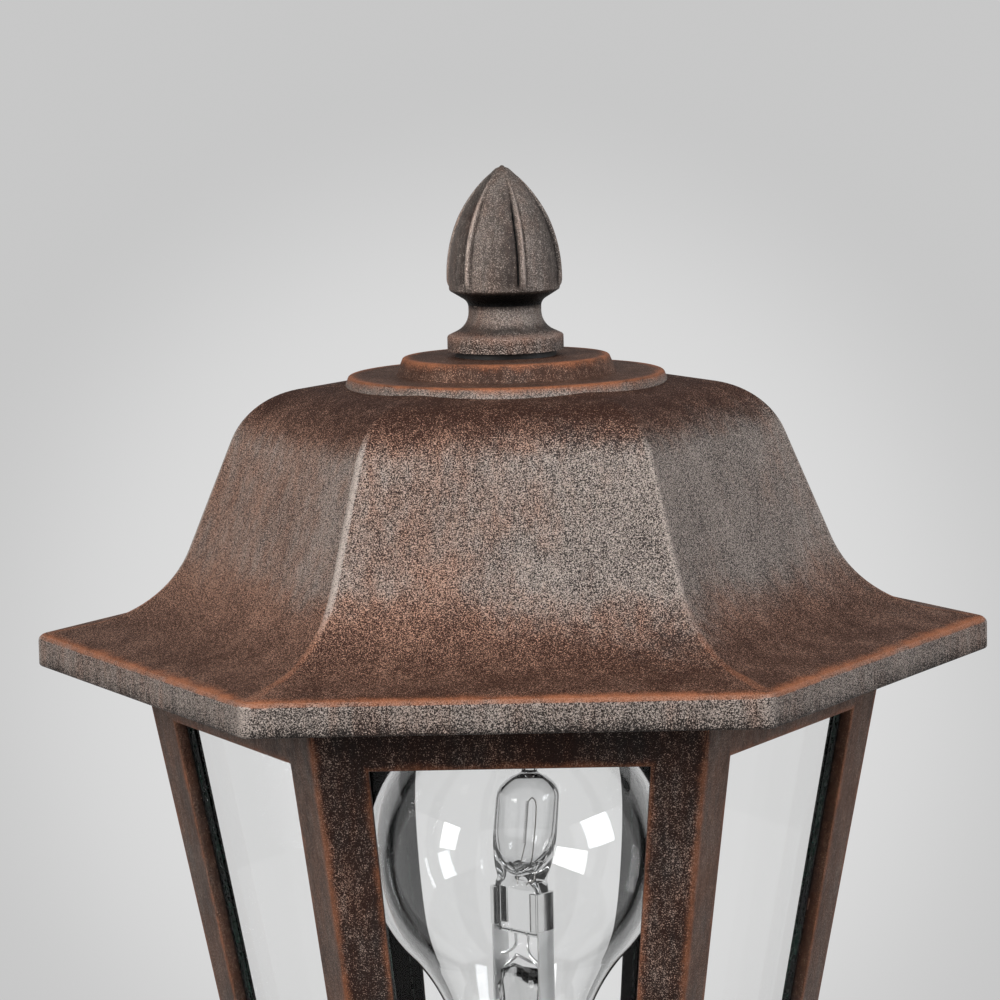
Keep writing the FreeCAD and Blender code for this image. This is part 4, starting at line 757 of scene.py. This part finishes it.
# %% Bulb sizes
BULB_Z, BALL_R, BALL_H, NECK_R, NECK_CURVE, GLASS_FOOT, GLASS_WALL = 786.0, 30.0, 77.0, 11.7, 40.0, 20.0, 0.8
MOUNT_OFF, MOUNT_TURN, CAPSULE_LEAN = 0.9, -45, np.tan(np.radians(5))
PINCH_HALF, PINCH_THICK, PINCH_TOP = 6.2, 4.0, 70.0


def bulb_line(inset):
    """Neck, hollow curve and ball as one line of (radius, height), drawn in by the glass's thickness."""
    meet = np.arccos((NECK_R + NECK_CURVE) / (BALL_R + NECK_CURVE))
    bend = BALL_H - (BALL_R + NECK_CURVE) * np.sin(meet)
    sweep = np.linspace(0, meet, 20)
    hollow = np.stack([NECK_R + NECK_CURVE - (NECK_CURVE + inset) * np.cos(sweep),
                       bend + (NECK_CURVE + inset) * np.sin(sweep)], axis=1)
    swing = np.linspace(-meet, np.pi / 2, 48)[1:]
    ball = np.stack([(BALL_R - inset) * np.cos(swing), BALL_H + (BALL_R - inset) * np.sin(swing)], axis=1)
    return np.concatenate([[(NECK_R - inset, GLASS_FOOT)], hollow, ball])


def in_mount(shell):
    """A shell of the mount turned about the bulb's axis, moved off it and lifted to the bulb's place."""
    return placed(shell, (MOUNT_OFF, 0, BULB_Z), MOUNT_TURN)


def leaning(shell):
    """The capsule above its pinch leans a little: points move to +X in step with their height over the pinch."""
    points, faces, marks = shell
    over = np.clip(points[:, 2] - BULB_Z - PINCH_TOP, 0, None)
    return points + np.outer(over, [CAPSULE_LEAN, 0, 0]), faces, marks


bulb_clear = clear_glass("bulb_glass", (0.998, 1.0, 1.0, 1.0), 1.45, 0.02)
envelope = lathe(np.concatenate([bulb_line(0.0), bulb_line(GLASS_WALL)[::-1]]), round_angles(128))
make_piece("bulb_envelope", placed(sheet(envelope, rows_close=True), (0, 0, BULB_Z)), bulb_clear, "bulb",
           stands_for=["bulb_glass"])

# %% Capsule
def superellipse(half, thick, sharp, angle):
    """Rows of points with |x/a|^n + |y/b|^n = 1, for a half width a, a half depth b and a sharpness n."""
    c, s, power = np.cos(angle), np.sin(angle), (2 / sharp)[:, None]
    return half[:, None] * np.sign(c) * np.abs(c) ** power, thick[:, None] * np.sign(s) * np.abs(s) ** power


def on_foot(points):
    """Rows of points with one more below, gathered on the axis, which closes the lowest."""
    return np.concatenate([points[:1] * [0, 0, 1], points])


def capsule_wall():
    """Quartz from the foot of the pinch to the tip: flat and nearly square in the pinch, round in the tube, with a
    low dome and a drop of glass where it was sealed."""
    height = np.array([60, 60.3, 61, 69, 70, 71, 72, 73.5, 75.5, 78, 80, 84, 88, 89, 90, 91, 91.8, 92.4, 92.9,
                       93.5, 94.5, 95.2, 95.8, 96])
    half = np.array([5.9, 6.15, 6.2, 6.2, 5.9, 5.2, 5.1, 5.3, 5.9, 6.3, 6.4, 6.4, 6.3, 6.1, 5.6, 4.7, 3.6, 2.3, 1.6,
                     1.5, 1.45, 1.2, 0.7, 0.0])
    thick = np.interp(height, [60, 60.3, 69.5, 72, 75.5, 78], [1.8, 2.0, 2.0, 3.2, 5.4, 6.3])
    thick = np.where(height < 78, thick, half)
    angle = round_angles(96)
    x, y = superellipse(half, thick, np.interp(height, [69.5, 76], [7.0, 2.0]), angle)
    return sheet(on_foot(np.stack([x, y, height[:, None] + 0 * angle], axis=-1)), hollow=0)


def capsule_hollow():
    """The empty space inside the quartz: a turned bubble with round ends, marked as a hollow."""
    line = np.array([(0, 72.6), (1.6, 72.8), (3.0, 73.7), (4.4, 75.3), (5.2, 77.2), (5.6, 79.5), (5.7, 81),
                     (5.7, 87.6), (5.5, 88.6), (5.0, 89.5), (4.1, 90.4), (3.0, 91.2), (1.6, 91.8), (0, 92.0)])
    return sheet(lathe(line, round_angles(96)), hollow=1)


quartz = clear_glass("bulb_quartz", (0.995, 0.998, 1.0, 1.0), 1.46, 0.05)
make_piece("bulb_capsule_glass", leaning(in_mount(join(capsule_wall(), capsule_hollow()))), quartz, "bulb",
           stands_for=["bulb_capsule"])

# %% [markdown]
# ## Straps, wires and stem
# Two nickel straps rise from the pressed glass stem and wrap round the edges of the pinch. Thin wires loop from
# the pinch to the straps, and a fine coil hangs in the capsule. Bent wire is a circle carried along a smooth
# path, so one function serves them all: it finds a frame at each point of the path and lays a ring in it.

# %% Wire and strap helpers
def smooth_path(corners, count):
    """A soft line through corners: Catmull-Rom pieces, each a cubic of its four nearest corners."""
    p = np.array(corners, dtype=float)
    p = np.concatenate([[2 * p[0] - p[1]], p, [2 * p[-1] - p[-2]]])
    t = np.linspace(0, len(p) - 3 - 1e-9, count)
    i = t.astype(int)
    u = (t - i)[:, None]
    a, b, c, d = p[i], p[i + 1], p[i + 2], p[i + 3]
    return 0.5 * (2 * b + (c - a) * u + (2 * a - 5 * b + 4 * c - d) * u ** 2 + (3 * b - a - 3 * c + d) * u ** 3)


def wire(path, radius, around=10):
    """A tube: at each point of the path a ring of a radius, square to the path, with closed ends."""
    ahead = unit(np.gradient(path, axis=0))
    guide = np.where(np.abs(ahead[:, 2:]) > 0.9, [[1.0, 0, 0]], [[0, 0, 1.0]])
    side = unit(np.cross(ahead, guide))
    top = np.cross(side, ahead)
    angle = round_angles(around)[:, None]
    rings = path[:, None] + radius * (np.cos(angle) * side[:, None] + np.sin(angle) * top[:, None])
    ends = [np.repeat(path[i][None, None], around, axis=1) for i in (0, -1)]
    return sheet(np.concatenate([ends[0], rings, ends[1]]))


def ribbon(section, low, high, rows=6):
    """A closed flat section (x, y) carried straight up from low to high, with closed ends."""
    height = np.concatenate([[low], np.linspace(low, high, rows), [high]])
    points = np.concatenate([np.repeat(section[None], rows + 2, axis=0),
                             np.repeat(height[:, None, None], len(section), axis=1)], axis=2)
    points[[0, -1], :, :2] = section.mean(axis=0)
    return sheet(points)


# %% Straps
STRAP, STRAP_THICK, STRAP_FOOT = 4.2, 0.6, 45.8
FOLD_FOOT, FOLD_LIP, FOLD_GAP, FOLD_CURVE, FOLD_THIN = 61.2, 1.4, 0.36, 0.4, 0.04


def strap_section(sign):
    """A flat bar just outside the pinch's edge, with slightly rounded corners."""
    near_x, far_x, y = PINCH_HALF, PINCH_HALF + STRAP_THICK, STRAP / 2
    bar = rounded([(near_x, 0, 0), (near_x, -y, 0.15), (far_x, -y, 0.15), (far_x, y, 0.15), (near_x, y, 0.15),
                   (near_x, 0.01, 0)], step=30)
    return bar * np.array([sign, 1])


def nickel(name, tone, tarnish, polished=9.0):
    """Drawn nickel: fine lines along its length, a slight tarnish in clouds, and a polish above a height."""
    n = Nodes(name)
    lines = n.noise(1500, detail=3, stretch=(1, 1, 0.05))
    tint = n.mix(n.ramp(n.noise(120, detail=3), 0.35, 0.75), colour(*tone), colour(*tarnish))
    height = n.add("SeparateXYZ", {0: n.spots}).outputs["Z"]
    shine = 0.32 * n.ramp(height, polished, polished + 0.0002)
    return n.feed(Base_Color=tint, Metallic=1.0, Roughness=n.ramp(lines, -0.7, 2.0) - shine)


def fold(sign, low, high):
    """The strap's head, a sheet folded round the pinch's edge: each point of the fold has four corners, two on the
    outer skin and two on the inner one, and the two lips are closed."""
    def skin(grow):
        x, y = PINCH_HALF + FOLD_GAP + grow, PINCH_THICK / 2 + FOLD_GAP + grow
        lip, radius = PINCH_HALF - FOLD_LIP, FOLD_CURVE + grow
        return rounded([(lip, y, 0), (x, y, radius), (x, -y, radius), (lip, -y, 0)], step=15) * np.array([sign, 1])

    outside, inside = skin(STRAP_THICK / 2 - FOLD_THIN), skin(FOLD_THIN - STRAP_THICK / 2)
    corners = [(outside, low), (outside, high), (inside, high), (inside, low)]
    box = np.stack([np.column_stack([side, np.full(len(side), height)]) for side, height in corners], axis=1)
    last = 4 * (len(outside) - 1)
    lips = np.array([[0, 1, 2, 3], [last + 3, last + 2, last + 1, last]])
    return box.reshape(-1, 3), np.concatenate([quads(len(outside), 4, columns_close=True), lips]), {}


strap_metal = nickel("strap_nickel", (252, 252, 252), (241, 241, 240), (BULB_Z + FOLD_FOOT) / 1000)
straps = [ribbon(strap_section(sign), STRAP_FOOT, FOLD_FOOT + 0.4) for sign in (-1, 1)]
folds = [fold(sign, FOLD_FOOT, PINCH_TOP - 1) for sign in (-1, 1)]
make_piece("mount_straps", in_mount(join(*straps, *folds)), strap_metal, "bulb",
           stands_for=["bulb_straps"])

# %% Coil and wires
COIL_TURNS, COIL_R, COIL_LOW, COIL_HIGH, COIL_WIRE, LEAD_WIRE, LOOP_WIRE = 24, 0.3, 78, 87, 0.07, 0.12, 0.3
turns = np.linspace(0, 2 * np.pi * COIL_TURNS, 25 * COIL_TURNS)
climb = np.linspace(COIL_LOW, COIL_HIGH, len(turns))
coil = np.stack([COIL_R * np.cos(turns), COIL_R * np.sin(turns), climb], axis=1)
leads = [smooth_path([(0, 0, 70.5), (0, 0, 76), (COIL_R, 0, COIL_LOW)], 14),
         smooth_path([(COIL_R, 0, COIL_HIGH), (1.4, 0, 87.8), (2.6, 0, 86), (2.6, 0, 78), (2.4, 0, 70.5)], 30)]
filament = join(wire(coil, COIL_WIRE, 6), *(wire(path, LEAD_WIRE, 8) for path in leads))
tungsten = nickel("lamp_tungsten", (176, 172, 168), (206, 198, 188))
make_piece("filament_coil", leaning(in_mount(filament)), tungsten, "bulb",
           stands_for=["bulb_filament"])

loops = [
    (24, [(-2.6, 0.3, 60.4), (-2.4, 0.4, 58.4), (-3.2, 0.9, 56.4), (-5.0, 0.5, 55.0), (-6.3, 0, 54.6)]),
    (24, [(2.2, -0.3, 60.4), (2.0, -0.6, 57.8), (3.1, -1.0, 55.8), (5.0, -0.6, 54.4), (6.3, 0, 54.0)]),
    (40, [(-6.3, 0.6, 51.6), (-3.6, 1.6, 54.0), (-1.0, -0.8, 55.2), (1.6, 0.8, 53.8), (3.8, -0.9, 54.8),
          (6.3, 0, 51.8)]),
]
loops = [wire(smooth_path(corners, count), LOOP_WIRE, 8) for count, corners in loops]
make_piece("mount_wires", in_mount(join(*loops)), strap_metal, "bulb")

# %% Stem
def pressed_stem():
    """The glass foot of the mount: a flared tube that is pressed flat at its head, uneven as hot glass is.

    At each height a superellipse, from a round flare to a flat bar, and a small ripple in the pressed part."""
    height = np.array([20, 20.4, 21, 22.5, 24.5, 27, 36, 40, 43.5, 46.5, 49.5, 51.4, 52.4, 52.8])
    half = np.array([10.4, 10.6, 10.2, 7.6, 5.2, 3.9, 3.6, 4.2, 5.4, 6.1, 6.1, 5.4, 3.6, 0])
    thick = np.array([10.4, 10.6, 10.2, 7.6, 5.2, 3.9, 3.6, 3.2, 2.6, 2.3, 2.2, 1.9, 1.2, 0])
    angle, up = round_angles(72), height[:, None]
    x, y = superellipse(half, thick, np.interp(height, [38, 45], [2.0, 3.2]), angle)
    ripple = 1 + np.interp(up, [40, 47], [0, 0.1]) * np.sin(5 * angle + 1.3 * up)
    points = on_foot(np.stack([ripple * x, ripple * y, up + 0.35 * np.sin(3 * angle) * (up > 47)], axis=-1))
    points[-1] = points[-1].mean(axis=0)
    return sheet(points)


make_piece("mount_stem", in_mount(pressed_stem()), quartz, "bulb", stands_for=["bulb_stem"])

# %% [markdown]
# ## Post, fittings and fasteners
# The pole, neck and foot keep the CAD shapes and take the same rust finish. They carry no marks, so their rubbed
# edges are worked out in the material: a turned edge is a ring, and the distance to it needs only the radius and
# the height of a point. The small hidden fittings get plain finishes of their own, each with a little variation.

# %% Turned castings
def ring_distance(rings):
    """A function that adds nodes for the distance in millimetres to the nearest ring of (radius, height)."""
    def build(n):
        x, y, z = (1000 * Amount(n, part) for part in n.add("SeparateXYZ", {0: n.spots}).outputs)
        radius, nearest = n.math("SQRT", x * x + y * y), 1000.0
        for r, h in rings:
            across, up = radius - r, z - h
            nearest = n.math("MINIMUM", nearest, n.math("SQRT", across * across + up * up))
        return nearest
    return build


POST_EDGES = [(79.6, 7.6), (36.0, 77.8), (36.0, 678.2), (36.0, 712.0), (38.9, 751.2), (38.9, 757.6)]
rust_post = rust_finish("rust_post", ring_distance(POST_EDGES), rub=0.65, warm=0.6, shade=0.6, calm=0.25)
print("rubbed rings on the post:", len(POST_EDGES))

# %% Fitting finishes
def fitting(name, tone, second, scale, metal, rough, grain):
    """A small part's finish: two tones in clouds, roughness that varies, and a fine bump."""
    n = Nodes(name)
    tint = n.mix(n.ramp(n.noise(scale, detail=4), 0.35, 0.7), colour(*tone), colour(*second))
    n.bump(n.noise(scale * 9, detail=2), grain, 0.0002)
    spread = rough[0] + (rough[1] - rough[0]) * n.noise(scale * 3, detail=3)
    return n.feed(Base_Color=tint, Metallic=metal, Roughness=spread)


fittings = [
    ("foot_screws neck_screws clip_screws floor_screws bow_screws terminal_screws bracket_screw terminal_bracket "
     "roof_bow roof_stud stud_nuts nipple_nuts",
     "zinc_steel", (178, 180, 182), (150, 150, 148), 300, 1.0, (0.25, 0.45), 0.1),
    # The finial's washer takes this near black as a painted shadow line under the finial.
    ("pane_clips finial_washer", "clip_black", (20, 17, 16), (31, 26, 23), 260, 0.0, (0.55, 0.75), 0.1),
    ("nipple holder_contact holder_sleeve bulb_contact",
     "turned_brass", (196, 160, 92), (170, 132, 70), 240, 1.0, (0.2, 0.4), 0.1),
    ("holder_dome holder_skirt", "holder_black", (24, 23, 22), (36, 33, 30), 150, 0.0, (0.3, 0.5), 0.2),
    ("holder_insert", "porcelain", (232, 228, 218), (218, 212, 200), 60, 0.0, (0.1, 0.3), 0.05),
    ("bulb_cap", "cap_nickel", (205, 200, 188), (180, 172, 158), 200, 1.0, (0.2, 0.35), 0.1),
    ("bulb_insulator", "cap_insulator", (18, 16, 22), (34, 28, 38), 180, 0.0, (0.08, 0.25), 0.05),
    ("lamp_lead", "lead_sheath", (34, 34, 35), (46, 45, 44), 120, 0.0, (0.45, 0.65), 0.2),
    ("terminal_block", "terminal_plastic", (214, 210, 196), (200, 194, 178), 90, 0.0, (0.35, 0.55), 0.1),
]
finished = 0
for finish, names in [(rust_post, "foot pole neck")] + [(fitting(*look), names) for names, *look in fittings]:
    for name in names.split():
        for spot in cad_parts[name].material_slots:
            spot.material = finish
        finished += 1
print("nodes with a fitting finish:", finished)

# %% [markdown]
# ## Light, floor and background
# The set is a pale floor, a soft lamp above and to the left, a cooler one to the right and a weak one in front.
# The grey background is the world's colour as the camera, reflections and glass see it: a little lighter behind
# the lantern than at the frame's corners. Bare metal mirrors it at half strength, which keeps the finish dark.
# Everything else is lit by an even, weaker world. Away from the foot the floor fades into the background, so no
# edge shows.

# %% World
BEHIND, AROUND, FILL, DULLED, GLOW_DOWN, GLOW_EDGE = 0.71, 0.575, 0.18, 0.5, np.radians(2.6), (0.08, 0.155)


def background():
    """World colour: a soft glow about the view's direction for rays that see it, plain fill for the rest."""
    n = Nodes("studio", bpy.data.worlds)
    ahead = -camera_axes(PITCH + GLOW_DOWN, PAN, ROLL)[:, 2]
    off = n.add("VectorMath", {0: n.places["Generated"], 1: ahead.tolist()}, operation="DISTANCE").outputs["Value"]
    rays = n.add("LightPath").outputs
    mirrored = n.math("SUBTRACT", rays["Is Glossy Ray"], rays["Is Transmission Ray"], clamp=True)
    seen = {"Color": n.ramp(off, *GLOW_EDGE, BEHIND, AROUND), "Strength": 1 - DULLED * mirrored}
    n.feed(Color=(1, 1, 1, 1), Strength=FILL)
    return n.blend(n.seen_rays(), n.shader.outputs[0], n.add("Background", seen).outputs[0])


bpy.context.scene.world = background()
print("background behind and around:", BEHIND, AROUND)

# %% Lamps
def soft_lamp(name, place, aim, width, height, watts, tint=(1, 1, 1)):
    """A rectangular soft box that faces a point."""
    lamp = bpy.data.lights.new(name, "AREA")
    lamp.shape, lamp.size, lamp.size_y = "RECTANGLE", width, height
    lamp.energy, lamp.color = watts, tint
    back = unit(np.array(place) - np.array(aim))
    right = unit(np.cross([0, 0, 1], back))
    stand(name, lamp, np.stack([right, np.cross(back, right), back], axis=1), place)


HEAD = (0, 0, 0.92)
soft_lamp("key_left", (-0.95, -0.9, 1.55), HEAD, width=0.75, height=1.0, watts=22)
soft_lamp("cool_right", (1.15, -0.4, 1.45), HEAD, width=0.6, height=0.95, watts=13.5, tint=(0.93, 0.96, 1.0))
soft_lamp("front_high", (0.1, -0.95, 2.05), HEAD, width=0.8, height=0.4, watts=9)
print("lamps:", [lamp.name for lamp in bpy.data.lights])

# %% Floor
FLOOR_R, FLOOR_RINGS, FLOOR_COLUMNS, FLOOR_FADE = 2.4, 24, 96, (0.4, 1.5)
reach = np.linspace(0, FLOOR_R, FLOOR_RINGS)[1:]
points, faces, _ = sheet(lathe(np.stack([reach, 0 * reach], axis=1), round_angles(FLOOR_COLUMNS)))
ground = bpy.data.meshes.new("floor")
ground.from_pydata(points.tolist(), [], faces.tolist() + [list(range(FLOOR_COLUMNS))])
floor = stand("floor", ground)
n = Nodes("pale_floor")
n.feed(Base_Color=n.mix(n.noise(3, detail=3), (0.60, 0.60, 0.60, 1), (0.66, 0.66, 0.66, 1)), Roughness=0.8)
span = n.add("VectorMath", {0: n.spots}, operation="LENGTH").outputs["Value"]
backdrop = n.add("Emission", {"Color": (AROUND, AROUND, AROUND, 1)}).outputs[0]
ground.materials.append(n.blend(n.ramp(span, *FLOOR_FADE) * n.seen_rays(), n.shader.outputs[0], backdrop))
print("floor radius:", FLOOR_R)
